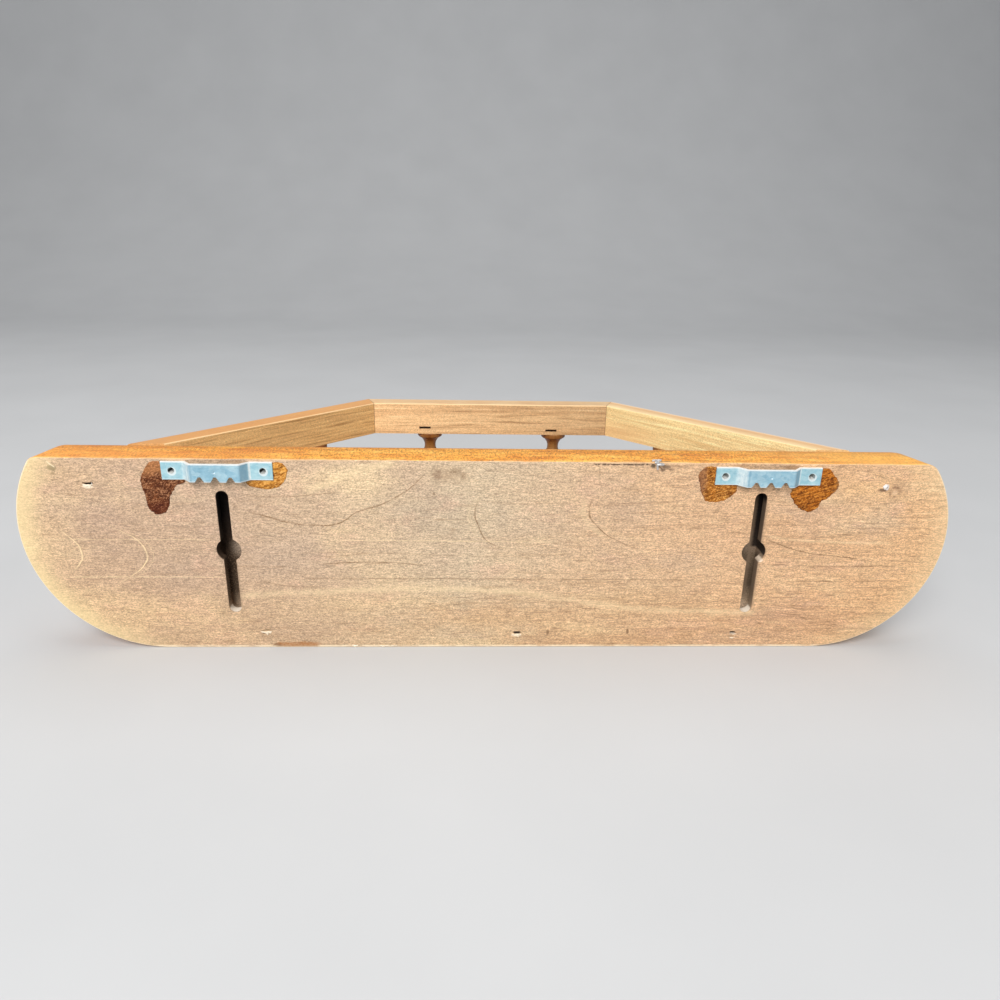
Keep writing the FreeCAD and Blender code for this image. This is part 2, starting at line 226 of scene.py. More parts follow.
    def bump(self, h, strength=0.3, dist=0.0003, normal=None):
        n = self.new("ShaderNodeBump")
        n.inputs["Strength"].default_value = strength
        n.inputs["Distance"].default_value = dist
        self.put(n.inputs["Height"], h)
        if normal is not None:
            self.put(n.inputs["Normal"], normal)
        return n.outputs[0]

    def done(self, color, rough, normal=None, metallic=0.0, spec=0.4, coat=0.0, coat_rough=0.2):
        self.put(self.b.inputs["Base Color"], color)
        self.put(self.b.inputs["Roughness"], rough)
        if normal is not None:
            self.put(self.b.inputs["Normal"], normal)
        self.b.inputs["Metallic"].default_value = metallic
        self.b.inputs["Specular IOR Level"].default_value = spec
        self.b.inputs["Coat Weight"].default_value = coat
        self.b.inputs["Coat Roughness"].default_value = coat_rough
        return self.m


# ---------------------------------------------------------------------------
# back board: bare sanded wood on the wall side, honey stain everywhere else
# ---------------------------------------------------------------------------
NAIL_MARKS = [(150.2, 69.2), (90.5, 6.7), (-10.1, 6.7), (-98.7, 6.7)]


def board_material():
    m = Mat("back_board_wood")
    P, x, y, z = m.P, m.x, m.y, m.z
    warp = m.noise(P, (0.010, 0.012, 0.030), 2.0)
    zw = m.add(z, m.mul(m.sub(warp, 0.5), 6.0))
    Q = m.comb(x, y, zw)
    right = m.math("GREATER_THAN", x, 0.0)

    # --- raw wood: creamy at one end, greyer in the middle, tan at the other ----
    drift = m.mul(m.sub(m.noise(P, (0.012, 0.02, 0.03), 3.0, seed=1.0), 0.5), 70.0)
    t = m.lin(m.add(x, drift), 180.0, -180.0)
    base = m.ramp(t, [(0.0, (0.620, 0.432, 0.254)), (0.10, (0.505, 0.346, 0.226)), (0.22, (0.485, 0.338, 0.230)),
                      (0.38, (0.560, 0.415, 0.274)), (0.48, (0.550, 0.426, 0.290)), (0.62, (0.590, 0.405, 0.252)),
                      (0.84, (0.610, 0.375, 0.214)), (1.0, (0.665, 0.412, 0.218))])
    mauve = m.rng(m.noise(P, (0.020, 0.03, 0.038), 4.0, 0.62, 0.5, seed=6.0), 0.47, 0.72)
    base = m.mix(m.mul(mauve, 0.55), base, (0.475, 0.335, 0.236))
    cream = m.rng(m.noise(P, (0.013, 0.03, 0.034), 4.0, 0.6, 0.4, seed=8.5), 0.50, 0.72)
    base = m.mix(m.mul(cream, 0.50), base, (0.740, 0.555, 0.330))
    wob = m.mul(m.sub(m.noise(P, (0.06, 0.1, 0.09), 4.0, 0.65, seed=5.0), 0.5), 1.6)
    for cx, cz, rx, rz, k, col in (
            (149.0, 54.0, 24.0, 24.0, 0.60, (0.430, 0.298, 0.216)),
            (128.0, 68.0, 34.0, 12.0, 0.40, (0.440, 0.312, 0.228)),
            (122.0, 34.0, 20.0, 18.0, 0.35, (0.430, 0.310, 0.226)),
            (-62.0, 66.0, 18.0, 10.0, 0.30, (0.660, 0.430, 0.240)),
            (-140.0, 69.0, 22.0, 9.0, 0.45, (0.700, 0.450, 0.228)),
            (-67.0, 20.0, 30.0, 10.0, 0.35, (0.490, 0.300, 0.166)),
            (78.0, 40.0, 22.0, 15.0, 0.45, (0.455, 0.335, 0.246)),
            (104.0, 55.0, 16.0, 26.0, 0.35, (0.470, 0.340, 0.250)),
            (22.0, 58.0, 30.0, 16.0, 0.45, (0.440, 0.350, 0.255)),
            (-20.0, 52.0, 30.0, 18.0, 0.40, (0.455, 0.340, 0.245)),
            (-52.0, 60.5, 13.0, 11.0, 0.52, (0.430, 0.300, 0.210)),
            (-45.0, 3.0, 78.0, 9.0, 0.55, (0.510, 0.305, 0.168)),
            (55.0, 63.0, 14.0, 10.0, 0.30, (0.640, 0.490, 0.320)),
            (-128.0, 58.0, 22.0, 10.0, 0.30, (0.500, 0.335, 0.235)),
            (-124.0, 13.0, 34.0, 11.0, 0.50, (0.480, 0.296, 0.186)),
            (-5.0, 13.0, 62.0, 13.0, 0.55, (0.545, 0.345, 0.200)),
            (150.0, 16.0, 34.0, 15.0, 0.45, (0.760, 0.560, 0.320)),
            (60.0, 72.0, 34.0, 9.0, 0.55, (0.760, 0.575, 0.345)),
            (45.0, 20.0, 50.0, 7.0, 0.35, (0.700, 0.500, 0.290)),
            (-95.0, 33.0, 60.0, 6.0, 0.25, (0.700, 0.455, 0.255))):
        base = m.mix(m.mul(m.blob(cx, cz, rx, rz, wob, 0.95), k), base, col)

    # --- grain: crisp grit everywhere, wavy fibres, flecks and hairlines in places ----
    wav = m.mul(m.sub(m.noise(P, (0.13, 0.2, 0.26), 3.0, 0.62, seed=21.0), 0.5), 1.9)
    W = m.comb(x, y, m.add(zw, wav))
    grit = m.noise(P, (1.55, 1.55, 2.60), 2.0, 0.85, seed=2.0)
    fibre = m.noise(W, (0.060, 0.5, 1.55), 3.0, 0.70)
    dash = m.noise(W, (0.24, 0.8, 2.50), 2.0, 0.70, seed=9.0)
    mottle = m.noise(P, (0.26, 0.3, 0.34), 3.0, 0.60, seed=22.0)
    pink = m.noise(P, (0.05, 0.05, 0.10), 3.0, 0.60, seed=23.0)
    where = m.noise(P, (0.010, 0.02, 0.035), 3.0, 0.6, seed=15.0)
    reg = m.add(m.rng(x, 30.0, -80.0, 0.30, 0.85), m.add(m.rng(z, 42.0, 8.0, 0.0, 0.25), m.rng(where, 0.35, 0.7, -0.15, 0.25)))
    reg = m.math("MAXIMUM", reg, 0.15)
    base = m.mix(m.mul(m.rng(pink, 0.55, 0.72), 0.28), base, (0.640, 0.395, 0.285))
    base = m.mix(m.mul(m.rng(fibre, 0.48, 0.28), m.mul(reg, 0.70)), base, (0.370, 0.215, 0.112))
    base = m.mix(m.mul(m.rng(fibre, 0.54, 0.74), m.mul(reg, 0.52)), base, (0.800, 0.595, 0.350))
    base = m.tone(base, m.lin(grit, 0.26, 0.74, 0.42, 1.56))
    base = m.tone(base, m.lin(dash, 0.26, 0.74, 0.74, 1.24))
    base = m.mix(m.rng(z, 40.0, 12.0), base, m.mix(1.0, base, (1.0, 0.970, 0.920), "MULTIPLY"))
    base = m.tone(base, m.lin(mottle, 0.28, 0.72, 0.96, 1.04))
    ring = m.noise(Q, (0.0075, 0.1, 0.115), 2.0, 0.5, 0.25, seed=4.0)
    rf = m.ab(m.sub(m.math("FRACT", m.mul(ring, 17.0)), 0.5))
    brk = m.rng(m.noise(P, (0.030, 0.1, 0.10), 3.0, 0.6, seed=5.5), 0.42, 0.66)
    hair = m.mul(m.rng(rf, 0.0, 0.085, 1.0, 0.0), brk)
    base = m.mix(m.mul(hair, 0.46), base, (0.300, 0.185, 0.100))
    thin = m.noise(W, (0.026, 0.4, 0.85), 1.0, 0.5, seed=12.0)
    slit = m.mul(m.rng(m.ab(m.sub(thin, 0.5)), 0.0, 0.017, 1.0, 0.0), m.rng(m.noise(P, (0.09, 0.1, 0.25), 2.0, seed=7.5), 0.42, 0.56))
    slit2 = m.mul(m.rng(m.ab(m.sub(m.noise(W, (0.014, 0.4, 0.46), 1.0, 0.5, seed=31.0), 0.5)), 0.0, 0.010, 1.0, 0.0),
                  m.rng(m.noise(P, (0.045, 0.1, 0.20), 3.0, 0.65, seed=32.0), 0.44, 0.60))
    slit = m.mx(slit, m.mul(slit2, m.rng(z, 66.0, 46.0, 0.25, 1.0)))
    base = m.mix(m.mul(slit, m.mul(reg, 0.95)), base, (0.270, 0.160, 0.085))

    # --- growth lines and saw lines that stand out, placed along the grain ----------
    m.x = m.add(x, m.mul(fibre, 0.00001))
    m.z = m.add(z, m.mul(fibre, 0.00001))
    wl = m.add(m.mul(m.sub(m.noise(P, (0.30, 0.3, 0.30), 3.0, 0.6, seed=3.0), 0.5), 1.2),
               m.mul(m.sub(m.noise(P, (1.30, 0.5, 0.90), 2.0, 0.6, seed=25.0), 0.5), 1.1))
    faint = m.rng(m.noise(P, (0.22, 0.1, 0.30), 3.0, 0.7, seed=16.0), 0.34, 0.60, 0.42, 1.0)
    dark_lines = [
        ([(93.6, 58.5), (86.7, 56.9), (80.5, 54.9), (74.9, 53.7), (70.1, 53.3), (60.6, 53.6), (52.0, 58.7),
          (44.4, 61.2), (34.9, 66.1), (28.8, 71.3), (25.4, 74.9)], "x", 0.44, 1.0),
        ([(5.6, 64.5), (7.1, 61.0), (7.3, 59.0), (7.3, 56.9), (6.1, 53.7), (5.4, 51.6), (2.6, 47.0), (-1.3, 44.9),
          (-5.2, 43.2), (-13.1, 42.0)], "z", 0.50, 0.92),
        ([(-39.0, 66.6), (-36.6, 62.1), (-36.5, 59.3), (-36.9, 57.2), (-40.2, 53.1), (-43.9, 49.7), (-49.2, 46.8),
          (-53.7, 44.7), (-58.5, 42.6)], "z", 0.52, 1.0),
        ([(67.3, 36.6), (59.5, 37.5), (49.9, 37.9), (44.1, 37.8), (38.3, 37.5), (24.7, 36.3)], "x", 0.40, 0.84),
        ([(-106.4, 48.4), (-114.4, 45.4), (-125.3, 42.2), (-133.5, 41.4), (-141.0, 40.5), (-146.0, 40.3)], "x", 0.46, 1.0),
        ([(-82.6, 30.5), (-42.5, 30.6), (-8.7, 30.7), (40.0, 30.8), (75.0, 30.7)], "x", 0.34, 0.70),
        ([(-115.9, 29.9), (-139.6, 30.0), (-163.8, 30.0)], "x", 0.34, 0.70),
        ([(96.0, 66.2), (84.0, 64.6), (70.0, 65.4), (58.0, 66.8)], "x", 0.34, 0.56),
        ([(-30.0, 42.5), (0.0, 40.6), (40.0, 41.6), (70.0, 42.0)], "x", 0.34, 0.34),
        ([(-95.0, 22.0), (-60.0, 19.6), (-20.0, 20.4), (30.0, 17.8)], "x", 0.34, 0.36),
        ([(92.0, 30.5), (84.0, 28.2), (76.0, 27.0), (66.0, 27.6)], "x", 0.38, 0.48),
        ([(-119.3, 37.0), (-134.4, 36.6), (-146.5, 36.8), (-162.5, 36.7)], "x", 0.42, 0.74),
    ]
    lines = None
    for pts, along, w, k in dark_lines:
        l = m.mul(m.line(pts, along, w, m.mul(wl, 0.8), fade=3.5), k)
        lines = l if lines is None else m.mx(lines, l)
    lines = m.mul(lines, faint)
    base = m.mix(lines, base, (0.215, 0.125, 0.060))
    arc1 = [(166.4, 52.5), (164.3, 51.8), (162.4, 49.5), (160.2, 47.5), (158.4, 45.4), (157.4, 43.3), (157.1, 41.0),
            (157.2, 39.2), (158.2, 37.3), (159.9, 35.2), (161.9, 33.1), (163.5, 32.3)]
    arc2 = [(148.6, 54.9), (144.4, 52.1), (141.4, 50.6), (138.8, 49.1), (136.3, 47.6), (134.6, 45.8), (133.3, 43.5),
            (132.7, 40.8), (133.1, 38.5), (134.3, 36.4), (136.5, 34.0), (139.2, 32.1), (141.5, 30.5), (144.7, 28.6),
            (147.8, 27.0)]
    light_lines = [
        (arc1, "z", 0.50, 0.90, 0.0), (arc2, "z", 0.50, 0.90, 0.0), (arc2, "z", 0.32, 0.34, 2.4), (arc1, "z", 0.32, 0.24, -2.2),
        ([(171.6, 47.0), (138.2, 47.0), (106.4, 47.1)], "x", 0.32, 0.48, 0.0),
        ([(167.0, 31.2), (132.9, 31.3), (100.4, 31.3)], "x", 0.34, 0.66, 0.0),
        ([(62.8, 47.1), (16.9, 46.9), (-25.8, 46.7)], "x", 0.36, 0.56, 0.0),
        ([(-39.0, 66.6), (-36.6, 62.1), (-36.5, 59.3), (-36.9, 57.2), (-40.2, 53.1), (-43.9, 49.7), (-49.2, 46.8)], "z", 2.2, 0.22, -2.4),
        ([(-0.9, 69.1), (4.4, 63.9), (7.3, 59.0), (7.3, 56.9), (6.1, 53.7), (5.4, 51.6), (2.6, 47.0)], "z", 2.0, 0.16, -2.2),
        ([(103.1, 23.1), (68.0, 24.9), (36.6, 26.3), (5.1, 25.9), (-26.9, 22.4), (-67.7, 17.0), (-108.9, 16.1)],
         "x", 2.4, 0.40, 0.0),
        ([(72.9, 66.6), (65.3, 69.0), (55.8, 73.4), (46.5, 76.3), (35.3, 78.7)], "x", 2.8, 0.42, 0.0),
        ([(-105.0, 50.0), (-125.0, 47.6), (-160.0, 46.8)], "x", 1.0, 0.30, 0.0),
    ]
    lit = None
    for pts, along, w, k, off in light_lines:
        l = m.mul(m.line(pts, along, w, m.mul(wl, 0.6), fade=5.0, side=off), k)
        lit = l if lit is None else m.mx(lit, l)
    base = m.mix(m.mul(lit, faint), base, (0.840, 0.650, 0.390))
    under = m.mx(m.line(arc1, "z", 0.30, m.mul(wl, 0.6), 5.0, 0.55), m.line(arc2, "z", 0.30, m.mul(wl, 0.6), 5.0, 0.55))
    base = m.mix(m.mul(under, 0.42), base, (0.330, 0.205, 0.120))

    # --- handling marks, stains, nail holes -----------------------------------------
    sm = m.mul(m.sub(m.noise(P, (0.16, 0.2, 0.22), 4.0, 0.65, seed=5.0), 0.5), 1.5)
    fray = m.mul(m.sub(m.noise(P, (0.55, 0.5, 1.4), 3.0, 0.65, seed=17.0), 0.5), 1.6)
    spk = m.rng(m.noise(P, (0.80, 0.8, 1.00), 3.0, 0.7, seed=26.0), 0.40, 0.60)
    for cx, cz, rx, rz, k, soft, col in (
            (17.4, 74.0, 9.5, 5.2, 0.58, 0.9, (0.300, 0.195, 0.120)),
            (21.6, 73.7, 2.0, 2.8, 0.82, 0.8, (0.230, 0.140, 0.085)),
            (15.2, 75.0, 3.4, 1.7, 0.88, 0.8, (0.225, 0.150, 0.085)),
            (11.9, 73.4, 1.5, 2.4, 0.76, 0.8, (0.240, 0.150, 0.085)),
            (-155.5, 69.5, 7.5, 6.0, 0.62, 0.9, (0.330, 0.185, 0.105)),
            (48.0, 78.6, 4.0, 0.8, 0.40, 0.7, (0.260, 0.150, 0.080)),
            (-14.5, 4.6, 4.6, 2.0, 0.30, 0.9, (0.330, 0.190, 0.100)),
            (-94.4, 7.6, 5.0, 3.4, 0.34, 0.9, (0.350, 0.220, 0.140)),
            (147.5, 65.8, 4.4, 2.4, 0.30, 0.9, (0.330, 0.215, 0.130))):
        base = m.mix(m.mul(m.mul(m.blob(cx, cz, rx, rz, m.mul(sm, 0.7), soft), m.lin(spk, 0.0, 1.0, 0.35, 1.0)), k), base, col)
    for cx, cz, rx, rz, k, soft, col in (
            (-154.6, 68.0, 1.5, 1.4, 0.50, 0.6, (0.660, 0.450, 0.290)),
            # painted shadow below the round nail's head
            (-149.3, 68.9, 2.2, 0.9, 0.80, 0.6, (0.120, 0.066, 0.040)),
            (162.3, 75.3, 2.3, 1.3, 0.85, 0.6, (0.250, 0.185, 0.100)),
            (162.3, 73.3, 1.4, 0.9, 0.75, 0.7, (0.290, 0.205, 0.110)),
            (153.8, 70.1, 1.0, 0.36, 0.60, 0.6, (0.210, 0.140, 0.085)),
            # painted shadows cast by the stray staple on the wall face, this and the next three spots
            (-59.6, 78.0, 1.3, 1.1, 0.85, 0.6, (0.060, 0.045, 0.026)),
            (-64.6, 77.5, 2.6, 1.3, 0.70, 0.6, (0.110, 0.070, 0.045)),
            (-66.6, 76.6, 1.5, 0.7, 0.60, 0.6, (0.180, 0.110, 0.066)),
            (-63.4, 76.3, 1.2, 0.7, 0.75, 0.6, (0.110, 0.064, 0.040)),
            (-55.2, 7.1, 0.75, 1.9, 0.85, 0.7, (0.190, 0.105, 0.055)),
            (-22.6, 6.6, 1.0, 1.7, 0.80, 0.7, (0.200, 0.115, 0.060)),
            (22.9, 66.2, 0.8, 0.8, 0.70, 0.7, (0.200, 0.125, 0.070)),
            (-25.6, 8.6, 2.2, 0.6, 0.55, 0.7, (0.240, 0.140, 0.075)),
            (-113.0, 77.9, 4.0, 1.1, 0.45, 0.7, (0.330, 0.170, 0.075)),
            (-93.0, 78.2, 4.6, 0.9, 0.45, 0.7, (0.330, 0.170, 0.075)),
            (96.0, 78.2, 7.0, 0.9, 0.35, 0.7, (0.360, 0.200, 0.095))):
        base = m.mix(m.mul(m.blob(cx, cz, rx, rz, m.mul(sm, 0.6), soft), k), base, col)
    # a dark line for a staple leg, with its painted shadow
    base = m.mix(m.mul(m.line([(-61.2, 78.6), (-62.2, 77.4), (-63.3, 76.3)], "z", 0.55, m.mul(wl, 0.3), 0.3), 0.85), base, (0.075, 0.045, 0.028))
    # stain that has run under the bottom edge
    run = m.mul(m.rng(m.add(z, m.mul(sm, 2.0)), 2.9, 1.7), m.mul(m.rng(m.add(x, m.mul(sm, 3.0)), 68.5, 71.0), m.rng(m.add(x, m.mul(sm, 3.0)), 87.5, 85.0)))
    base = m.mix(m.mul(run, m.lin(spk, 0.0, 1.0, 0.60, 0.92)), base, (0.360, 0.155, 0.052))
    base = m.mix(m.mul(m.blob(86.4, 0.9, 2.3, 1.5, m.mul(sm, 0.5), 0.6), 0.75), base, (0.200, 0.095, 0.040))
    # a hammer ring beside the round nail, and a short gouge in the other top corner drawn as a painted shadow line with
    # a painted highlight line beside it
    dx, dz = m.sub(x, -154.5), m.sub(z, 68.2)
    ring_d = m.ab(m.sub(m.math("SQRT", m.add(m.mul(dx, dx), m.mul(dz, dz))), 1.95))
    ring_k = m.mul(m.rng(m.add(ring_d, m.mul(fray, 0.45)), 0.0, 0.80, 1.0, 0.0), m.rng(m.noise(P, (0.45, 0.4, 0.45), 2.0, 0.6, seed=27.0), 0.38, 0.58))
    base = m.mix(m.mul(ring_k, 0.90), base, (0.230, 0.130, 0.075))
    gouge = [(164.0, 76.6), (162.6, 75.4), (161.0, 74.2)]
    base = m.mix(m.mul(m.line(gouge, "x", 0.95, m.mul(wl, 0.4), 0.5), 0.75), base, (0.270, 0.205, 0.110))
    base = m.mix(m.mul(m.line(gouge, "x", 0.50, m.mul(wl, 0.3), 0.5, -1.35), 0.75), base, (0.900, 0.760, 0.520))
    for nx, nz in NAIL_MARKS:
        if nx in (150.2, -10.1):
            base = m.mix(m.mul(m.blob(nx + 0.2, nz - 1.15, 2.4, 0.85, m.mul(fray, 0.8), 0.6), 0.80), base, (0.900, 0.760, 0.560))
        # painted shade: a near-black slit at each nail, where its hole opens
        wide, k = {150.2: (2.3, 0.92), 90.5: (1.9, 0.55), -10.1: (2.3, 0.92), -98.7: (1.3, 0.85)}[nx]
        base = m.mix(m.mul(m.blob(nx - 0.1, nz + 0.15, wide, 0.55, m.mul(fray, 0.5), 0.5), k), base, (0.050, 0.026, 0.014))
    # the dark lines at the first two nails are painted shade of their slit openings; the third is a brown mark
    for pts, w, k, col in (
            ([(152.6, 69.80), (151.3, 69.65), (150.2, 69.35), (149.3, 69.75), (148.0, 69.85)], 0.42, 0.92, (0.120, 0.075, 0.036)),
            ([(92.3, 7.50), (90.4, 7.95), (88.2, 8.40)], 0.40, 0.80, (0.150, 0.110, 0.050)),
            ([(-96.4, 5.0), (-98.4, 5.05), (-99.6, 5.0)], 0.50, 0.60, (0.260, 0.175, 0.095))):
        base = m.mix(m.mul(m.line(pts, "x", w, m.mul(fray, 0.2), 0.5), k), base, col)

    # --- paler rim along the round ends ------------------------------------------------
    ax = m.ab(x)
    rad_ = m.fmix(right, END_R[1], END_R[0])
    ex = m.mx(m.sub(ax, m.fmix(right, END_X[1], END_X[0])), 0.0)
    ez = m.sub(z, rad_)
    rad = m.math("SQRT", m.add(m.mul(ex, ex), m.mul(ez, ez)))
    edge = m.sub(rad_, m.mx(rad, m.mx(m.sub(rad_, z), 0.0)))
    rim = m.rng(m.add(edge, m.mul(m.add(sm, wob), 4.0)), -1.0, 11.0, 1.0, 0.0)
    rim = m.mul(rim, m.rng(ax, 112.0, 160.0))
    base = m.mix(m.mul(rim, m.fmix(right, 0.30, 0.66)), base, m.mix(right, (0.770, 0.590, 0.350), (0.790, 0.625, 0.335)))
    # painted highlight: a pale line along the board's outline edge, and along the ragged bottom edge, where it partly
    # stands for torn fibres
    arris_highlight = m.rng(edge, 0.15, 0.75, 1.0, 0.0)
    foot_ = m.mul(m.rng(m.add(z, m.mul(fray, 0.5)), 1.35, 0.55), m.rng(m.noise(P, (0.12, 0.1, 0.2), 3.0, 0.7, seed=28.0), 0.36, 0.56, 0.30, 1.0))
    arris_highlight = m.mx(arris_highlight, m.mul(foot_, m.inv(m.mul(run, 0.8))))
    base = m.mix(m.mul(arris_highlight, 0.85), base, (0.900, 0.760, 0.540))
    toprim = m.mul(m.rng(z, 78.5, 79.2), m.rng(m.noise(P, (0.05, 0.1, 0.2), 3.0, 0.7, seed=8.0), 0.40, 0.62))
    base = m.mix(m.mul(toprim, 0.7), base, (0.720, 0.480, 0.270))
    torn = m.rng(m.noise(P, (1.10, 0.5, 0.8), 3.0, 0.7, seed=18.0), 0.38, 0.50)
    torn = m.mul(torn, m.line([(-36.0, 78.45), (-48.0, 78.40), (-61.0, 78.50)], "x", 0.48, m.mul(wl, 0.45), 2.0))
    base = m.mix(torn, base, (0.045, 0.022, 0.012))

    # --- stained and varnished faces ----------------------------------------------------
    sfib = m.noise(P, (0.026, 0.24, 0.40), 3.0, 0.70, seed=11.0)
    spor = m.noise(P, (0.12, 0.42, 0.80), 3.0, 0.7, seed=12.0)
    sgrit = m.noise(P, (1.5, 0.50, 0.9), 2.0, 0.80, seed=19.0)
    stain = m.ramp(sfib, [(0.26, (0.560, 0.180, 0.024)), (0.44, (0.740, 0.300, 0.050)), (0.58, (0.830, 0.390, 0.080)),
                          (0.76, (0.900, 0.500, 0.130))])
    calm = m.mix(0.55, stain, (0.740, 0.320, 0.062))
    stain = m.mix(m.mul(m.rng(spor, 0.50, 0.68), 0.62), stain, (0.450, 0.130, 0.014))
    stain = m.mix(m.mul(m.rng(spor, 0.48, 0.30), 0.50), stain, (0.960, 0.600, 0.200))
    stain = m.tone(stain, m.lin(sgrit, 0.30, 0.70, 0.46, 1.52))
    stain = m.mix(m.rng(m.nz, 0.25, 0.70), calm, stain)
    stain = m.mix(1.0, stain, (1.0, 1.0, 0.80), "MULTIPLY")
    stain = m.mix(m.mul(m.rng(m.noise(P, (0.011, 0.05, 0.05), 3.0, 0.6, seed=13.0), 0.50, 0.70), 0.40), stain, (0.640, 0.220, 0.052))
    stain = m.mix(m.mul(m.rng(x, 100.0, 165.0), 0.35), stain, (0.840, 0.320, 0.085))
    stain = m.mix(m.mul(m.rng(x, -80.0, -150.0), 0.45), stain, (0.950, 0.530, 0.140))
    # a dark line across the top face near the stray staple
    top_dark_line = m.mul(m.mul(m.rng(x, -67.0, -66.0), m.rng(x, -62.0, -62.6)), m.rng(m.ab(m.sub(y, m.add(50.2, m.mul(m.add(x, 64.0), 0.2)))), 0.75, 0.30))
    stain = m.mix(m.mul(top_dark_line, 0.80), stain, (0.130, 0.060, 0.024))
    far = m.rng(y, 37.4, 35.2)
    stain = m.mix(m.mul(far, 0.35), stain, (0.560, 0.180, 0.036))
    stain = m.tone(stain, m.rng(y, 35.0, 46.0, 0.86, 1.03))
    near = m.mul(m.rng(m.sub(WALL, y), 0.2, 1.5, 1.0, 0.0), m.rng(m.noise(P, (0.07, 0.3, 0.3), 3.0, 0.7, seed=14.0), 0.38, 0.62))
    stain = m.mix(m.mul(near, 0.60), stain, (0.800, 0.520, 0.250))

    # --- which is which --------------------------------------------------------------
    back = m.rng(m.ny, 0.55, 0.80)
    inside = m.mul(m.rng(y, 36.0, 36.4), m.mul(m.rng(edge, 0.9, 1.3), m.rng(z, 78.2, 77.8)))
    inside = m.mul(inside, m.rng(m.ab(x), 161.0, 159.0))
    raw = m.mx(back, inside)
    sx = m.ab(m.sub(x, m.fmix(right, SLOT_X[1], SLOT_X[0])))
    depth = m.sub(WALL, y)
    deep = m.mul(m.rng(sx, 6.6, 6.2), m.rng(depth, 0.15, 0.9))
    # The slot insides are painted with light and shade: near black at the top, lighter towards the bottom end, with a
    # painted dark crescent, painted light where it falls in through an entry hole and a painted highlight on the
    # upward-facing foot; the grit adds wood texture.
    zt = m.lin(z, 15.0, 68.0)
    at = lambda q: (q - 15.0) / 53.0
    pit_r = m.ramp(zt, [(0.0, (0.560, 0.430, 0.310)), (0.045, (0.400, 0.290, 0.200)), (0.10, (0.150, 0.100, 0.062)),
                        (0.35, (0.085, 0.052, 0.030)), (0.55, (0.046, 0.026, 0.015)), (0.74, (0.012, 0.006, 0.004)),
                        (1.0, (0.006, 0.003, 0.002))])
    pit_r = m.mix(m.mul(m.mul(m.rng(grit, 0.52, 0.66), m.rng(z, 40.0, 32.0)), 0.60), pit_r, (0.420, 0.270, 0.170))
    pit_l = m.ramp(zt, [(0.0, (0.600, 0.460, 0.330)), (at(17.5), (0.420, 0.310, 0.210)), (at(24.0), (0.150, 0.105, 0.066)),
                        (at(37.0), (0.160, 0.112, 0.070)), (at(40.0), (0.300, 0.215, 0.145)), (at(46.0), (0.260, 0.180, 0.120)),
                        (at(50.0), (0.075, 0.047, 0.029)), (at(56.0), (0.020, 0.011, 0.007)), (1.0, (0.006, 0.003, 0.002))])
    pit = m.mix(right, pit_l, pit_r)
    crescent = m.mul(m.mul(m.rng(x, -104.5, -105.3), m.rng(z, 40.4, 41.4)), m.inv(right))
    pit = m.mix(m.mul(crescent, 0.92), pit, (0.012, 0.007, 0.005))
    pit = m.tone(pit, m.lin(grit, 0.27, 0.73, 0.45, 1.55))
    for cx, cz, col in ((100.4, 39.8, (0.640, 0.480, 0.350)),):
        lit_ = m.mul(m.blob(cx, cz, 5.2, 6.5, m.mul(fray, 0.25), 0.98), m.rng(depth, 4.0, 5.0))
        pit = m.mix(m.mul(lit_, 0.8), pit, m.mix(m.rng(grit, 0.36, 0.64), m.tone(col, 0.45), col))
    foot = m.mul(m.mul(m.rng(m.nz, 0.10, 0.45), m.rng(depth, 6.0, 4.4)), m.rng(z, 21.0, 19.0))
    pit = m.mix(foot, pit, (0.900, 0.790, 0.660))
    base = m.mix(deep, base, pit)
    chip = m.blob(-105.3, 39.2, 1.9, 1.1, m.mul(fray, 0.5), 0.5)
    base = m.mix(m.mul(m.mul(chip, m.rng(depth, 4.2, 3.8)), 0.85), base, (0.900, 0.730, 0.560))
    soft_side = m.sub(m.sub(m.fmix(right, SLOT_X[1], SLOT_X[0]), 2.38), m.add(x, m.mul(fray, 0.5)))
    halo = m.mul(m.rng(soft_side, 1.2, 0.0), m.rng(soft_side, -0.9, -0.5))
    halo = m.mul(halo, m.mul(m.rng(z, 17.2, 20.0), m.rng(z, m.fmix(right, 65.0, 40.0), m.fmix(right, 62.0, 36.0))))
    base = m.mix(m.mul(halo, 0.55), base, (0.270, 0.185, 0.120))
    # painted shade inside the nail holes, lighter in the holes at x 90.5 and -98.7
    hole = m.mul(m.rng(sx, 6.2, 6.6), m.rng(depth, 0.12, 0.5))
    pale = m.mx(m.rng(m.ab(m.sub(x, 90.5)), 3.0, 2.6), m.rng(m.ab(m.add(x, 98.7)), 3.0, 2.6))
    pale = m.mul(pale, m.rng(z, 12.0, 11.0))
    base = m.mix(m.mul(hole, 0.9), base, m.mix(pale, (0.055, 0.030, 0.018), m.mix(m.rng(m.ab(m.add(x, 98.7)), 1.3, 0.9), (0.300, 0.195, 0.115), (0.055, 0.030, 0.016))))
    # painted shade, dark grey, inside the holes under the hanger tabs
    tabs = m.mul(m.rng(z, 69.8, 70.3), m.rng(m.ab(m.sub(ax, 103.2)), 24.5, 24.0))
    base = m.mix(m.mul(m.mul(hole, tabs), 0.95), base, (0.105, 0.110, 0.106))
    color = m.mix(raw, stain, base)

    rough = m.fmix(raw, m.lin(sfib, 0.2, 0.8, 0.34, 0.50), m.lin(fibre, 0.2, 0.8, 0.66, 0.84))
    h = m.add(m.mul(fibre, m.mul(reg, 0.8)), m.add(m.mul(dash, 0.35), m.mul(grit, 0.30)))
    h = m.fmix(raw, m.add(m.mul(sfib, 0.5), m.mul(spor, 0.25)), h)
    nrm = m.bump(h, 0.40, 0.00032)
    return m.done(color, rough, nrm, spec=0.30)


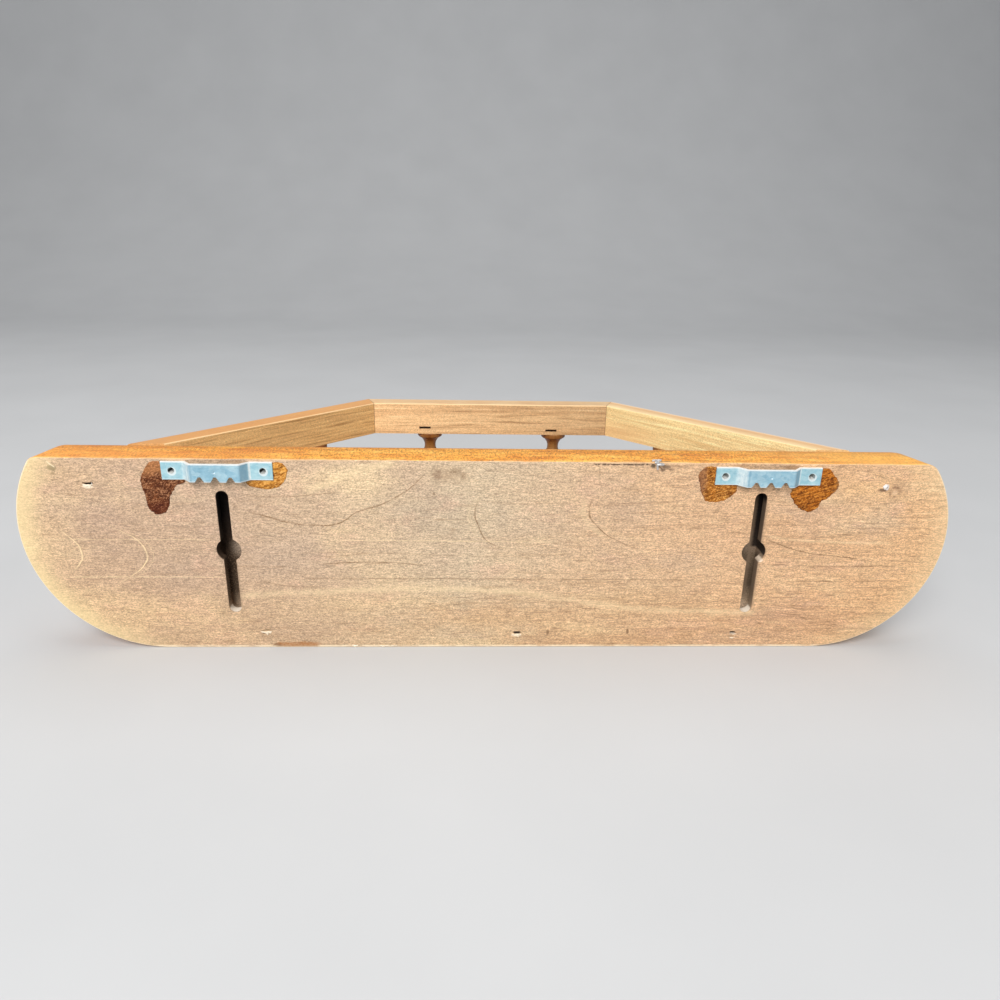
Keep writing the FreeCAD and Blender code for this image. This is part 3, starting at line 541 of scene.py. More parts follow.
# ---------------------------------------------------------------------------
# stained wood for the shelf, the rails and the spindles
# ---------------------------------------------------------------------------
def stained_material(name, turn=0.0, raw_dir=None, raw_tint=(1.0, 1.0, 1.0), vertical=False, seed=0.0, dark=0.0, veins=1.0, vein_col=(0.380, 0.220, 0.100)):
    m = Mat(name)
    c, s = math.cos(math.radians(turn)), math.sin(math.radians(turn))
    u = m.add(m.mul(m.x, c), m.mul(m.y, s))
    v = m.sub(m.mul(m.y, c), m.mul(m.x, s))
    G = m.comb(m.z, v, u) if vertical else m.comb(u, v, m.z)
    warp = m.noise(G, (0.012, 0.05, 0.05), 2.0, seed=seed + 1.0)
    gx, gy, gz = m.xyz(G)
    G = m.comb(gx, gy, m.add(gz, m.mul(m.sub(warp, 0.5), 5.0)))
    band = m.noise(G, (0.006, 0.13, 0.13), 3.0, 0.6, 0.2, seed=seed + 2.0)
    fib = m.noise(G, (0.030, 0.55, 1.05), 3.0, 0.68, seed=seed + 3.0)
    dash = m.noise(G, (0.15, 1.0, 1.9), 2.0, 0.65, seed=seed + 5.0)
    grit = m.noise(m.P, (1.5, 1.5, 2.3), 2.0, 0.80, seed=seed + 6.0)
    k = 1.0 - dark
    stain = m.ramp(band, [(0.25, (0.470 * k, 0.150 * k, 0.030 * k)), (0.48, (0.640 * k, 0.262 * k, 0.062 * k)),
                          (0.62, (0.730 * k, 0.335 * k, 0.090 * k)), (0.80, (0.780 * k, 0.410 * k, 0.135 * k))])
    stain = m.mix(m.mul(m.rng(fib, 0.52, 0.30), 0.45), stain, (0.360 * k, 0.110 * k, 0.022 * k))
    stain = m.mix(m.mul(m.rng(dash, 0.56, 0.74), 0.50), stain, (0.210 * k, 0.066 * k, 0.015 * k))
    stain = m.tone(stain, m.lin(grit, 0.25, 0.75, 0.76, 1.22))
    rough = m.lin(fib, 0.2, 0.8, 0.32, 0.48)
    color = stain
    h = m.add(m.mul(fib, 0.6), m.mul(dash, -0.3))
    raw = None
    if raw_dir is not None:
        tint = lambda q: tuple(min(0.95, a * b) for a, b in zip(q, raw_tint))
        raw_c = m.ramp(m.noise(G, (0.008, 0.1, 0.15), 3.0, 0.6, 0.3, seed=seed + 7.0),
                       [(0.28, tint((0.560, 0.345, 0.170))), (0.46, tint((0.690, 0.450, 0.228))), (0.60, tint((0.770, 0.525, 0.275))),
                        (0.78, tint((0.640, 0.420, 0.225)))])
        grey = m.rng(m.noise(G, (0.016, 0.1, 0.13), 4.0, 0.7, 0.4, seed=seed + 8.0), 0.50, 0.72)
        raw_c = m.mix(m.mul(grey, 0.45), raw_c, tint((0.470, 0.300, 0.160)))
        raw_c = m.mix(m.mul(m.rng(fib, 0.50, 0.30), 0.80 * veins), raw_c, tint(vein_col))
        raw_c = m.mix(m.mul(m.rng(fib, 0.53, 0.70), 0.65), raw_c, tint((0.920, 0.690, 0.395)))
        raw_c = m.mix(m.mul(m.rng(dash, 0.56, 0.74), 0.45 * veins), raw_c, tint(vein_col))
        raw_c = m.tone(raw_c, m.lin(grit, 0.28, 0.72, 0.70, 1.28))
        d = m.vm("DOT_PRODUCT", m.Nrm, raw_dir)
        raw = m.rng(d, 0.55, 0.80)
        color = m.mix(raw, stain, raw_c)
        rough = m.fmix(raw, rough, m.lin(fib, 0.2, 0.8, 0.60, 0.78))
    return m, color, rough, h


def rail_material(name, turn, raw_dir, raw_tint, top_col, seed, shade=(1.0, 1.0), wear=1.0, veins=1.0,
                  vein_col=(0.380, 0.220, 0.100), band=None):
    m, color, rough, h = stained_material(name, turn, raw_dir, raw_tint, seed=seed, veins=veins, vein_col=vein_col)
    color = m.tone(color, m.lin(m.x, -55.0, 55.0, shade[0], shade[1]))
    # the top is paler than the outer side, with a worn inner edge
    n = m.noise(m.P, (0.06, 0.06, 0.2), 3.0, 0.7, seed=seed + 9.0)
    top = m.rng(m.nz, 0.55, 0.85)
    if band is not None:
        # pale along both edges of the top, browner between them; warmer low down near the mitre
        across = m.lin(m.add(m.mul(m.x, band[0]), m.mul(m.y, band[1])), band[2] - 10.6, band[2])
        top_col = m.ramp(across, [(0.0, (0.900, 0.740, 0.580)), (0.18, (0.880, 0.690, 0.480)), (0.36, (0.760, 0.480, 0.240)),
                                  (0.58, (0.780, 0.520, 0.270)), (0.80, (0.860, 0.660, 0.370)), (1.0, (0.880, 0.690, 0.400))])
        warm = m.mul(m.mul(m.rng(m.x, -88.0, -64.0), m.rng(m.z, 75.0, 67.5)), m.rng(m.nz, 0.5, 0.2))
        color = m.mix(m.mul(warm, 0.50), color, (0.780, 0.470, 0.215))
    color = m.mix(m.mul(top, m.lin(n, 0.3, 0.7, 0.50 if band is None else 0.75, 0.82 if band is None else 0.95)), color, top_col)
    worn = m.mul(m.mul(m.rng(m.nz, 0.10, 0.30), m.rng(m.nz, 0.97, 0.85)), m.rng(m.vm("DOT_PRODUCT", m.Nrm, raw_dir), 0.10, 0.30))
    color = m.mix(m.mul(worn, m.lin(n, 0.3, 0.7, 0.55 * wear, 0.95 * wear)), color, (0.840, 0.600, 0.330))
    # dark hairline in the mitre
    cut = m.add(m.mul(m.sub(m.ab(m.add(m.x, 0.7)), 61.05), 0.9223), m.mul(m.add(m.y, 52.1), 0.3866))
    color = m.mix(m.mul(m.rng(m.ab(cut), 0.06, 0.30, 1.0, 0.0), 0.55), color, (0.150, 0.080, 0.040))
    return m.done(color, rough, m.bump(h, 0.32, 0.0003), spec=0.35)


def spindle_material(seed):
    # a darker stain, part of which stands in for shade
    m, color, rough, h = stained_material("spindle_wood_%d" % seed, vertical=True, seed=3.0 * seed, dark=0.62)
    # turning marks ring the spindle, and the coves are painted darker as shade
    ring = m.noise(m.P, (0.02, 0.02, 2.0), 3.0, 0.6, seed=seed + 0.5)
    color = m.mix(m.mul(m.rng(ring, 0.50, 0.72), 0.42), color, (0.130, 0.048, 0.016))
    geo = m.new("ShaderNodeNewGeometry")
    cove_shade = m.rng(geo.outputs["Pointiness"], 0.40, 0.50, 1.0, 0.0)
    color = m.mix(m.mul(cove_shade, 0.45), color, (0.100, 0.036, 0.012))
    h = m.add(h, m.mul(ring, 0.5))
    return m.done(color, rough, m.bump(h, 0.35, 0.0003), spec=0.40)


# ---------------------------------------------------------------------------
# metal and glue
# ---------------------------------------------------------------------------
def zinc_material(name, cx, cz, seed):
    m = Mat(name)
    sp = m.voronoi(m.vm("ADD", m.P, (seed, seed, seed)), (0.70, 0.70, 0.70), out="Color")
    spx, _, _ = m.xyz(sp)
    n = m.noise(m.P, (0.22, 0.25, 0.35), 4.0, 0.65, seed=seed)
    f = m.noise(m.P, (0.5, 3.0, 3.0), 3.0, 0.6, seed=seed + 3.0)
    u = m.ab(m.sub(m.x, cx))
    tab = m.rng(u, 10.6, 12.4)
    # painted reflection: the blue tint of the plate stands in for a reflected blue sky over the zinc's own grey
    c = m.ramp(n, [(0.25, (0.160, 0.350, 0.470)), (0.50, (0.255, 0.460, 0.580)), (0.75, (0.385, 0.585, 0.670))])
    tc = m.ramp(n, [(0.25, (0.210, 0.440, 0.540)), (0.50, (0.310, 0.545, 0.625)), (0.75, (0.450, 0.660, 0.710))])
    c = m.mix(tab, c, tc)
    c = m.mix(m.mul(spx, 0.30), c, (0.640, 0.780, 0.800))
    c = m.mix(m.mul(m.rng(f, 0.54, 0.74), 0.35), c, (0.150, 0.270, 0.350))
    # painted light on the bends: the ramp on the +x side is painted lit and the one on the -x side painted in shade,
    # with a painted bright crease where the shaded ramp meets its tab and a painted dark line at the inner end of the
    # lit ramp
    v = m.sub(m.x, cx)
    sheen = m.noise(m.P, (0.8, 0.8, 0.5), 3.0, 0.7, seed=seed + 5.0)
    c = m.mix(m.mul(m.mul(m.rng(v, 8.6, 9.8), m.rng(v, 13.2, 11.8)), m.lin(sheen, 0.3, 0.7, 0.15, 0.85)), c, (0.830, 0.900, 0.900))
    c = m.mix(m.mul(m.mul(m.rng(v, -8.2, -9.4), m.rng(v, -11.8, -11.0)), 0.55), c, (0.160, 0.300, 0.400))
    c = m.mix(m.mul(m.rng(m.ab(m.add(v, 11.9)), 0.5, 0.1), m.lin(sheen, 0.3, 0.7, 0.4, 1.0)), c, (0.900, 0.930, 0.910))
    c = m.mix(m.mul(m.rng(m.ab(m.sub(v, 8.6)), 0.6, 0.1), 0.45), c, (0.170, 0.320, 0.430))
    # painted highlights: a near-white band along the top edge of the strip and a paler band along its bottom edge
    top_edge_highlight = m.rng(m.add(m.sub(m.z, cz), m.mul(sheen, 0.3)), HANG_W / 2 - 0.35, HANG_W / 2 - 0.05)
    c = m.mix(m.mul(top_edge_highlight, 0.80), c, (0.920, 0.940, 0.920))
    bottom_edge_highlight = m.rng(m.add(m.sub(m.z, cz), m.mul(sheen, 0.3)), -HANG_W / 2 + 0.65, -HANG_W / 2 + 0.35)
    c = m.mix(m.mul(bottom_edge_highlight, 0.50), c, (0.760, 0.840, 0.840))
    # a painted highlight on the lower side of the burr round each nail hole, and painted shade inside the holes, grey
    # on one side and near black on the other
    dx = m.sub(u, HANG_L / 2 - HANG_HOLE)
    dz = m.sub(m.z, cz)
    d = m.math("SQRT", m.add(m.mul(dx, dx), m.mul(dz, dz)))
    dzb = m.add(dz, 0.32)
    dxb = m.add(dx, m.mul(m.math("SIGN", v), 0.22))
    db = m.math("SQRT", m.add(m.mul(dxb, dxb), m.mul(dzb, dzb)))
    burr_highlight = m.mul(m.rng(d, 1.15, 1.30), m.rng(db, 1.85, 1.45))
    c = m.mix(m.mul(burr_highlight, 0.75), c, (0.800, 0.850, 0.840))
    # painted shade inside the hole, lighter towards one side
    inner = m.mix(m.rng(m.add(m.mul(m.sub(m.x, m.add(cx, m.mul(m.math("SIGN", v), HANG_L / 2 - HANG_HOLE))), 0.75), m.mul(dz, -0.65)), -0.10, 0.55),
                  (0.420, 0.440, 0.430), (0.020, 0.024, 0.024))
    c = m.mix(m.rng(d, 1.28, 1.12), c, inner)
    # painted highlights: upward-facing edges near white, downward-facing edges paler
    edge = m.rng(m.nz, 0.45, 0.80)
    c = m.mix(m.mul(edge, 0.85), c, (0.950, 0.950, 0.920))
    underside_highlight = m.rng(m.nz, -0.45, -0.80)
    c = m.mix(m.mul(underside_highlight, 0.6), c, (0.620, 0.720, 0.730))
    rough = m.lin(n, 0.3, 0.7, 0.34, 0.54)
    return m.done(c, rough, m.bump(m.add(n, m.mul(f, 0.3)), 0.16, 0.0003), metallic=0.35, spec=0.5)


def steel_material(name, tint, rust, metallic=0.95):
    m = Mat(name)
    n = m.noise(m.P, (0.8, 0.8, 0.8), 4.0, 0.7)
    f = m.noise(m.P, (6.0, 6.0, 6.0), 2.0, 0.6, seed=2.0)
    c = m.ramp(n, [(0.3, tuple(v * 0.7 for v in tint)), (0.6, tint)])
    c = m.mix(m.mul(m.rng(n, 0.52, 0.70), rust), c, (0.180, 0.080, 0.035))
    return m.done(c, m.lin(f, 0.3, 0.7, 0.22, 0.42), m.bump(f, 0.15, 0.0001), metallic=metallic, spec=0.5)


def round_nail_material():
    m = Mat("nail_steel_bright")
    n = m.noise(m.P, (1.1, 1.1, 1.1), 4.0, 0.7)
    # near-white head, partly bright steel and partly a painted highlight
    c = m.ramp(n, [(0.30, (0.620, 0.600, 0.570)), (0.55, (0.920, 0.900, 0.880))])
    dx, dz = m.sub(m.x, -150.3), m.sub(m.z, 70.3)
    d = m.math("SQRT", m.add(m.mul(dx, dx), m.mul(dz, dz)))
    c = m.mix(m.mul(m.rng(d, 0.50, 0.22), 0.80), c, (0.150, 0.110, 0.080))
    # painted shade on the part of the nail sunk below the wall face
    c = m.mix(m.rng(m.y, WALL - 0.15, WALL - 0.6), c, (0.120, 0.105, 0.095))
    return m.done(c, m.lin(n, 0.3, 0.7, 0.30, 0.50), m.bump(n, 0.15, 0.0001), metallic=0.30, spec=0.5)


def glue_material(name, base, dark, light, speck, streak, seed, extra=()):
    m = Mat(name)
    T = m.comb(m.x, m.y, m.add(m.z, m.mul(m.x, 0.34)))
    n = m.noise(m.P, (0.24, 0.3, 0.36), 3.0, 0.6, 0.5, seed=seed)
    fib = m.noise(T, (0.20, 0.8, 1.30), 3.0, 0.72, 0.3, seed=seed + 2.0)
    spk = m.noise(T, (1.40, 1.4, 2.2), 2.0, 0.75, seed=seed + 4.0)
    c = m.mix(m.rng(n, 0.34, 0.66), dark, base)
    c = m.mix(m.mul(m.rng(fib, 0.51, 0.62), streak), c, tuple(v * 0.55 for v in dark))
    c = m.mix(m.mul(m.rng(fib, 0.48, 0.34), streak * 0.8), c, light)
    c = m.mix(m.mul(m.rng(spk, 0.52, 0.64), speck), c, light)
    c = m.mix(m.mul(m.rng(spk, 0.48, 0.35), speck), c, tuple(v * 0.36 for v in dark))
    for axis, a, b, k, col in extra:
        src = m.x if axis == "x" else m.z
        w = m.add(src, m.mul(m.sub(n, 0.5), 5.0))
        c = m.mix(m.mul(m.rng(w, a, b), k), c, m.mix(m.rng(spk, 0.40, 0.62), tuple(v * 0.6 for v in col), col))
    # painted shade: a dark line along the lower rim of each drop, and near black on anything below the wall face
    rim = m.mul(m.rng(m.sub(m.y, WALL), 0.03, 0.14, 1.0, 0.0), m.rng(m.nz, 0.25, -0.15))
    c = m.mix(m.mul(rim, 0.75), c, tuple(v * 0.30 for v in dark))
    c = m.mix(m.rng(m.y, WALL - 0.15, WALL - 0.70), c, (0.060, 0.060, 0.056))
    h = m.add(m.mul(n, 0.5), m.add(m.mul(fib, 0.5 * streak), m.mul(spk, 0.5)))
    return m.done(c, m.lin(n, 0.3, 0.7, 0.42, 0.60), m.bump(h, 0.45, 0.0003), spec=0.14)


# ---------------------------------------------------------------------------
# dried glue: thin uneven drops with a rounded rim instead of flat films
# ---------------------------------------------------------------------------
def smooth_loop(pts, per=12):
    out = []
    n = len(pts)
    for i in range(n):
        p0, p1, p2, p3 = (Vector(pts[(i + k - 1) % n]) for k in range(4))
        for j in range(per):
            t = j / per
            out.append(0.5 * ((2 * p1) + (p2 - p0) * t + (2 * p0 - 5 * p1 + 4 * p2 - p3) * t * t
                              + (3 * p1 - p0 - 3 * p2 + p3) * t ** 3))
    return out


def drop_mesh(name, outline, tab, hole, height, seed, rings=26):
    """outline: (x, z) in mm; tab: (x0, x1, z0, z1) of the strip's end that it holds."""
    loop = smooth_loop(outline, 14)
    off = seed * 13.7
    cx = sum(p.x for p in loop) / len(loop)
    cz = sum(p.y for p in loop) / len(loop)
    rough_loop = []
    for p in loop:
        d = Vector((p.x - cx, p.y - cz))
        d.normalize()
        k = 0.34 * mnoise.noise(Vector((p.x * 0.75, p.y * 1.5, off + 2.0))) + 0.16 * mnoise.noise(Vector((p.x * 2.0, p.y * 4.2, off + 3.0)))
        rough_loop.append(Vector((p.x + d.x * k, min(TOP - 0.9, p.y + d.y * k))))
    loop = rough_loop
    bm = bmesh.new()
    levels = []
    opening = set()
    for r in range(rings):
        f = 1.0 - (r / rings) ** 1.35
        row = []
        for p in loop:
            x, z = cx + (p.x - cx) * f, cz + (p.y - cz) * f
            inside = 1.0 - f
            rise_ = height * min(1.0, inside / 0.14) ** 0.5
            rise_ *= 0.80 + 0.55 * mnoise.noise(Vector((x * 0.35, z * 0.35, off + 5.0)))
            rise_ += 0.07 * mnoise.noise(Vector((x * 1.4, z * 2.4, off + 9.0))) * min(1.0, inside * 6)
            dx = max(tab[0] - x, x - tab[1])
            dz = max(tab[2] - z, z - tab[3])
            d = math.hypot(max(dx, 0.0), max(dz, 0.0)) if max(dx, dz) > 0 else max(dx, dz)
            if d < 0:
                rise_ = 0.03
            elif d < 0.9:
                rise_ = max(rise_, rise_ + (0.55 - rise_) * (1 - d / 0.9) ** 2 * 0.8)
            if r == 0:
                rise_ = 0.0
            row.append(bm.verts.new((x / 1000.0, (WALL + max(0.0, rise_)) / 1000.0, z / 1000.0)))
            if math.hypot(x - hole[0], z - hole[1]) < 2.05:
                opening.add(row[-1])
        levels.append(row)
    n = len(loop)
    quilt = [(a[i], a[(i + 1) % n], b[(i + 1) % n], b[i]) for a, b in zip(levels[:-1], levels[1:]) for i in range(n)]
    top = bm.verts.new((cx / 1000.0, (WALL + height * 0.8) / 1000.0, cz / 1000.0))
    dxc = max(tab[0] - cx, cx - tab[1])
    dzc = max(tab[2] - cz, cz - tab[3])
    if max(dxc, dzc) < 0:
        top.co.y = (WALL + 0.03) / 1000.0
    if math.hypot(cx - hole[0], cz - hole[1]) < 2.05:
        opening.add(top)
    last = levels[-1]
    quilt += [(last[i], last[(i + 1) % n], top) for i in range(n)]
    quilt = [q for q in quilt if not any(v in opening for v in q)]
    for q in quilt:
        bm.faces.new(q)
    rims = [tuple(e.verts) for e in bm.edges if len(e.link_faces) == 1]
    under = {v: bm.verts.new((v.co.x, (WALL - 0.02) / 1000.0, v.co.z)) for v in [v for v in bm.verts if v.link_faces]}
    for q in quilt:
        bm.faces.new([under[v] for v in reversed(q)])
    for a, b in rims:
        bm.faces.new((a, b, under[b], under[a]))
    for v in [v for v in bm.verts if not v.link_faces]:
        bm.verts.remove(v)
    bmesh.ops.recalc_face_normals(bm, faces=bm.faces)
    me = bpy.data.meshes.new(name)
    bm.to_mesh(me)
    bm.free()
    for p in me.polygons:
        p.use_smooth = True
    ob = bpy.data.objects.new(name, me)
    sc.collection.objects.link(ob)
    return ob


GLUE = {
    "right": [
        [(124.1, 78.4), (127.2, 77.4), (129.1, 75.0), (130.6, 72.3), (131.0, 69.6), (130.4, 66.0), (129.9, 63.2),
         (129.6, 60.2), (128.0, 58.2), (126.1, 57.2), (123.4, 58.2), (121.6, 61.3), (121.0, 64.3), (119.2, 67.3),
         (117.6, 69.3), (114.9, 70.3), (115.6, 74.4), (119.5, 77.0)],
        [(83.7, 77.6), (79.3, 78.1), (77.3, 76.4), (77.0, 74.5), (78.0, 71.5), (80.3, 68.8), (83.8, 67.7),
         (88.0, 68.0), (91.4, 68.9), (92.4, 70.3), (90.6, 72.6), (86.6, 75.4)]],
    "left": [
        [(-84.6, 77.5), (-80.8, 78.0), (-77.9, 76.3), (-77.2, 73.8), (-78.0, 71.3), (-78.7, 68.3), (-80.0, 65.5),
         (-81.4, 64.0), (-84.4, 63.6), (-87.7, 64.2), (-90.4, 65.8), (-92.2, 67.6), (-92.6, 70.0), (-91.4, 72.8),
         (-87.6, 75.9)],
        [(-122.6, 77.1), (-126.7, 77.6), (-128.4, 76.2), (-129.9, 74.4), (-131.7, 72.2), (-131.9, 69.9), (-130.3, 67.6),
         (-128.3, 65.3), (-126.1, 64.0), (-125.4, 62.0), (-123.7, 60.4), (-120.9, 59.9), (-118.2, 61.1), (-115.9, 63.2),
         (-114.6, 65.2), (-113.6, 67.2), (-114.6, 69.9), (-117.0, 72.1), (-119.9, 75.3)]],
}
# base, dark, light, grit, streaks, other tints by height or side
GLUE_LOOK = {
    ("right", 0): ((0.165, 0.048, 0.015), (0.080, 0.019, 0.006), (0.420, 0.200, 0.095), 0.85, 0.30,
                   (("z", 64.5, 60.0, 0.60, (0.105, 0.017, 0.006)), ("z", 72.4, 74.6, 0.65, (0.560, 0.240, 0.090)))),
    ("right", 1): ((0.680, 0.300, 0.050), (0.360, 0.120, 0.012), (0.860, 0.480, 0.140), 0.60, 0.85,
                   (("x", 87.5, 91.0, 0.50, (0.240, 0.085, 0.014)),)),
    ("left", 0): ((0.480, 0.160, 0.018), (0.220, 0.066, 0.008), (0.740, 0.360, 0.085), 0.85, 0.55,
                  (("x", -81.8, -78.6, 0.70, (0.260, 0.125, 0.070)),)),
    ("left", 1): ((0.450, 0.130, 0.010), (0.200, 0.050, 0.005), (0.720, 0.290, 0.045), 0.60, 0.95,
                  (("x", -129.6, -131.6, 0.45, (0.420, 0.230, 0.090)),)),
}
for side, loops in GLUE.items():
    hx, hz = HANG[side]
    made = []
    for i, loop in enumerate(loops):
        outer = (hx + HANG_L / 2 if (i == 0) == (side == "right") else hx - HANG_L / 2)
        if side == "left":
            outer = hx + HANG_L / 2 if i == 0 else hx - HANG_L / 2
        inner = outer - HANG_TAB if outer > hx else outer + HANG_TAB
        tab = (min(outer, inner), max(outer, inner), hz - HANG_W / 2, hz + HANG_W / 2)
        name = "%s_hanger_glue_%s" % (side, "outer" if (i == 0) == (side == "right") else "inner")
        hole = (hx + (HANG_L / 2 - HANG_HOLE) * (1 if outer > hx else -1), hz)
        ob = drop_mesh(name, loop, tab, hole, 0.30, i + (3 if side == "left" else 0))
        base, dark, light, speck, streak, extra = GLUE_LOOK[(side, i)]
        ob.data.materials.append(glue_material("dried_glue_%s_%d" % (side, i), base, dark, light, speck, streak,
                                               3.0 * i + (7.0 if side == "left" else 1.0), extra))
        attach(ob, "root")
        made.append(ob)
    for ob in made:
        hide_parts(side + "_hanger_glue")


# ---------------------------------------------------------------------------
# torn fibres under the nail holes and along the bottom edge
# ---------------------------------------------------------------------------
def fibre_material():
    m = Mat("torn_fibre")
    f = m.noise(m.P, (0.8, 2.0, 3.2), 3.0, 0.6)
    c = m.ramp(f, [(0.3, (0.740, 0.570, 0.380)), (0.5, (0.920, 0.800, 0.620)), (0.72, (0.960, 0.890, 0.760))])
    return m.done(c, m.lin(f, 0.3, 0.7, 0.70, 0.85), m.bump(f, 0.4, 0.0002), spec=0.2)


TORN = fibre_material()


def flake(name, x, z, w, h, lift, seed):
    """A thin ragged splinter that lies on the wall face, a little raised at its root."""
    n, k = 13, 4
    bm = bmesh.new()
    sheets = []
    for layer in (0, 1):
        rows = []
        for j in range(k):
            v = j / (k - 1)
            row = []
            for i in range(n):
                u = i / (n - 1)
                a = x + (u - 0.5) * w * (1.0 - 0.28 * v)
                rag = mnoise.noise(Vector((a * 1.7, seed * 3.1, 0.4)))
                drop = h * v * (0.72 + 0.75 * rag) * (0.45 + 0.55 * math.sin(math.pi * (0.08 + 0.84 * u)))
                zz = max(0.02, z - drop - 0.12 * mnoise.noise(Vector((a * 0.9, seed, 2.2))))
                yy = WALL + lift * (1.0 - v) ** 1.4 * (0.5 + 0.5 * math.sin(math.pi * u)) * (0.8 + 0.5 * rag)
                yy += 0.015 if layer == 0 else 0.13 * (1.0 - 0.75 * v)
                if layer == 0:
                    yy = WALL - 0.02
                row.append(bm.verts.new((a / 1000.0, yy / 1000.0, zz / 1000.0)))
            rows.append(row)
        sheets.append(rows)
    lo_, up_ = sheets
    for j in range(k - 1):
        for i in range(n - 1):
            bm.faces.new((up_[j][i], up_[j][i + 1], up_[j + 1][i + 1], up_[j + 1][i]))
            bm.faces.new((lo_[j][i + 1], lo_[j][i], lo_[j + 1][i], lo_[j + 1][i + 1]))
    ring_u = up_[0] + [r[-1] for r in up_[1:]] + up_[-1][-2::-1] + [r[0] for r in up_[-2:0:-1]]
    ring_l = lo_[0] + [r[-1] for r in lo_[1:]] + lo_[-1][-2::-1] + [r[0] for r in lo_[-2:0:-1]]
    q = len(ring_u)
    for i in range(q):
        bm.faces.new((ring_u[i], ring_l[i], ring_l[(i + 1) % q], ring_u[(i + 1) % q]))
    bmesh.ops.recalc_face_normals(bm, faces=bm.faces)
    me = bpy.data.meshes.new(name)
    bm.to_mesh(me)
    bm.free()
    for p in me.polygons:
        p.use_smooth = True
    ob = bpy.data.objects.new(name, me)
    sc.collection.objects.link(ob)
    me.materials.append(TORN)
    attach(ob, "root")
    return ob


for i, (fx, fz, fw, fh) in enumerate(((150.3, 69.05, 3.9, 1.45), (90.3, 7.35, 4.6, 1.95), (-9.9, 6.15, 3.9, 1.50), (-98.9, 6.22, 3.0, 0.55))):
    flake("torn_fibre_nail_%d" % (i + 1), fx, fz, fw, fh, 0.34, (1.0, 12.0, 3.0, 4.0)[i])
flake("torn_fibre_nail_5", -98.9, 4.55, 2.4, 0.90, 0.20, 5.0)
flake("torn_fibre_edge_1", 55.4, 1.15, 2.6, 1.2, 0.30, 6.0)
flake("torn_fibre_edge_2", 43.4, 0.95, 4.2, 1.0, 0.25, 7.0)
flake("torn_fibre_edge_3", 39.6, 1.00, 2.4, 1.0, 0.32, 8.0)


# ---------------------------------------------------------------------------
# finishes on the CAD nodes
# ---------------------------------------------------------------------------
def dress(node, mat):
    ob = nodes[node]
    ob.data.materials.clear()
    ob.data.materials.append(mat)


dress("back_board", board_material())
m, color, rough, h = stained_material("shelf_wood", seed=21.0)
dress("shelf_board", m.done(color, rough, m.bump(h, 0.3, 0.0003), spec=0.42, coat=0.15, coat_rough=0.25))
q = math.sqrt(0.5)
dress("front_rail", rail_material("front_rail_wood", 0.0, (0.0, 1.0, 0.0), (1.0, 1.0, 1.0), (0.740, 0.560, 0.330), 31.0, (0.82, 1.22)))
dress("right_rail", rail_material("right_rail_wood", 45.5, (-q, q, 0.0), (1.00, 0.94, 0.74), (0.680, 0.350, 0.125), 41.0))
dress("left_rail", rail_material("left_rail_wood", -45.5, (q, q, 0.0), (1.16, 1.34, 1.28), (0.780, 0.500, 0.260), 51.0, wear=0.25, veins=0.50,
                                vein_col=(0.480, 0.250, 0.092), band=(0.7133, 0.7009, -69.96)))
for i, n in enumerate(sorted(n for n in nodes if n.startswith("spindle_") and n != "spindle_staples")):
    dress(n, spindle_material(i + 1))
for i, side in enumerate(("left", "right")):
    dress(side + "_hanger", zinc_material("zinc_plate_" + side, HANG[side][0], HANG[side][1], 2.0 + 5.0 * i))
# nail heads in their holes painted near black as shade
dress("shelf_nails", steel_material("nail_steel_shaded", (0.050, 0.044, 0.038), 0.6, 0.40))
dress("rail_nails", round_nail_material())
dress("stray_staple", steel_material("staple_steel_bright", (0.70, 0.69, 0.68), 0.30, 0.80))
# staple crowns in their pockets painted near black as shade
dress("spindle_staples", steel_material("staple_steel", (0.060, 0.052, 0.045), 0.6))


# ---------------------------------------------------------------------------
# floor, light and camera
# ---------------------------------------------------------------------------
def sweep():
    bm = bmesh.new()
    prof = [(2.2, 0.0), (-0.9, 0.0)]
    for k in range(1, 17):
        a = math.radians(90 * k / 16)
        prof.append((-0.9 - 0.9 * math.sin(a), 0.9 - 0.9 * math.cos(a)))
    prof.append((-1.8, 3.0))
    rows = [[bm.verts.new((sx * 3.5, yy, zz)) for sx in (-1, 1)] for yy, zz in prof]
    for a, b in zip(rows[:-1], rows[1:]):
        bm.faces.new((a[0], a[1], b[1], b[0]))
    bmesh.ops.recalc_face_normals(bm, faces=bm.faces)
    me = bpy.data.meshes.new("studio_floor")
    bm.to_mesh(me)
    bm.free()
    for p in me.polygons:
        p.use_smooth = True
    ob = bpy.data.objects.new("studio_floor", me)
    sc.collection.objects.link(ob)
    m = Mat("studio_paper")
    n = m.noise(m.P, (0.01, 0.01, 0.01), 3.0)
    m.put(m.b.inputs["Base Color"], m.ramp(n, [(0.3, (0.520, 0.528, 0.540)), (0.7, (0.545, 0.553, 0.565))]))
    m.b.inputs["Roughness"].default_value = 0.9
    m.b.inputs["Specular IOR Level"].default_value = 0.1
    me.materials.append(m.m)
    return ob


sweep()


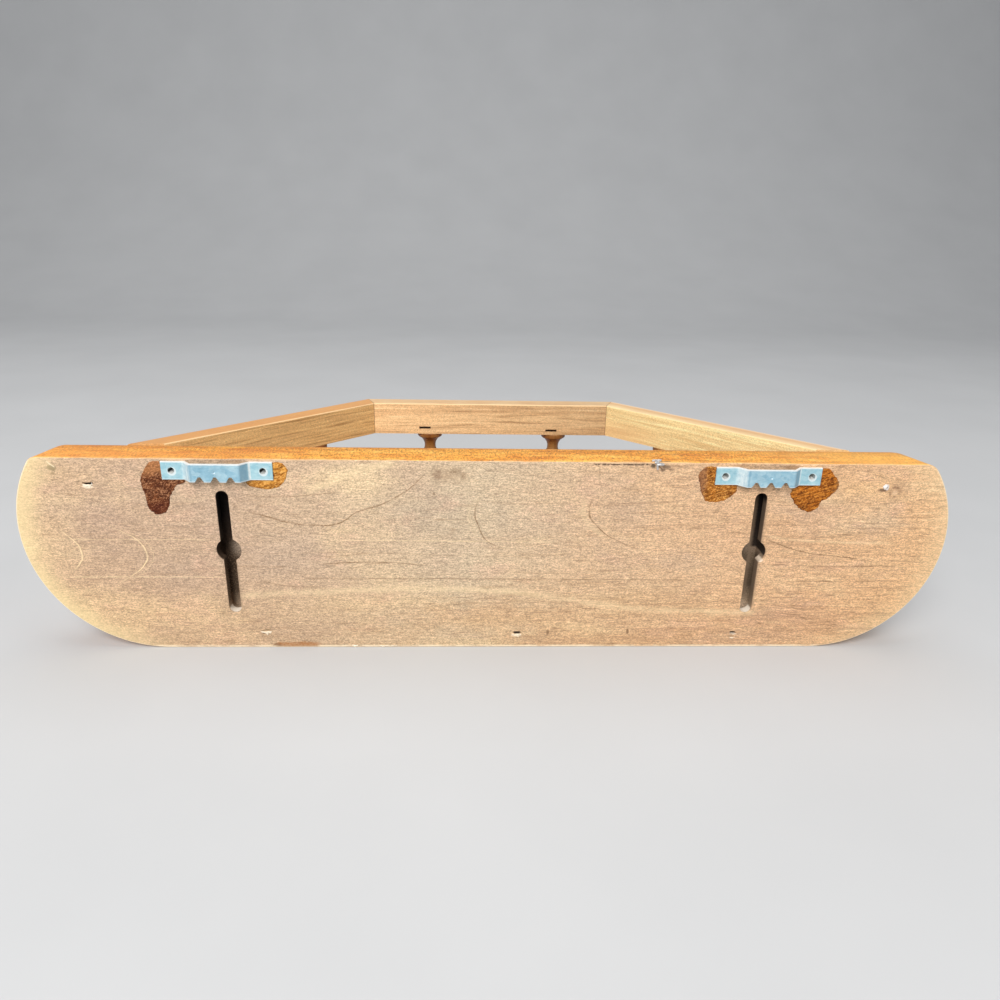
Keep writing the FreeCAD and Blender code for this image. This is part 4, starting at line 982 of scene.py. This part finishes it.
def area(name, loc, target, size, power, color=(1, 1, 1), size_y=None):
    l = bpy.data.lights.new(name, "AREA")
    l.shape = "RECTANGLE"
    l.size = size
    l.size_y = size_y or size
    l.energy = power
    l.color = color
    ob = bpy.data.objects.new(name, l)
    sc.collection.objects.link(ob)
    ob.location = loc
    ob.rotation_euler = (Vector(target) - Vector(loc)).to_track_quat("-Z", "Y").to_euler()
    return ob


area("key", (0.32, 1.20, 1.05), (0, 0, 0.04), 0.9, 28.0, (1.0, 0.985, 0.96))
area("top", (0.0, -0.30, 1.5), (0, 0, 0.04), 1.4, 9.5, (1.0, 0.99, 0.97))
area("fill_left", (1.5, 0.5, 0.7), (0, 0, 0.05), 1.0, 3.0, (0.96, 0.98, 1.0))
area("fill_right", (-1.5, 0.6, 0.7), (0, 0, 0.05), 1.0, 4.0, (0.96, 0.98, 1.0))

w = bpy.data.worlds.new("studio")
sc.world = w
w.use_nodes = True
w.node_tree.nodes["Background"].inputs[0].default_value = (0.95, 0.97, 1.0, 1.0)
w.node_tree.nodes["Background"].inputs[1].default_value = 0.25
sc.view_settings.view_transform = "Standard"
sc.view_settings.look = "None"
sc.view_settings.exposure = 0.0

cam = bpy.data.cameras.new("photo_view")
cam_ob = bpy.data.objects.new("photo_view", cam)
sc.collection.objects.link(cam_ob)
F_PX = 763.7
cam.sensor_fit = "HORIZONTAL"
cam.sensor_width = 36.0
cam.lens = F_PX / 1000.0 * 36.0
cam.clip_start = 0.01
cam.clip_end = 50.0
pitch, yaw, roll = math.radians(20.136), math.radians(2.455), math.radians(1.213)
fwd = Vector((-math.sin(yaw) * math.cos(pitch), -math.cos(yaw) * math.cos(pitch), -math.sin(pitch)))
right = Vector((-math.cos(yaw), math.sin(yaw), 0.0))
up = right.cross(fwd)
r2 = math.cos(roll) * right + math.sin(roll) * up
u2 = -math.sin(roll) * right + math.cos(roll) * up
loc = Vector((9.56, 271.88 + WALL, 163.71)) / 1000.0
cam_ob.matrix_world = Matrix(((r2.x, u2.x, -fwd.x, loc.x), (r2.y, u2.y, -fwd.y, loc.y), (r2.z, u2.z, -fwd.z, loc.z), (0, 0, 0, 1)))
sc.camera = cam_ob
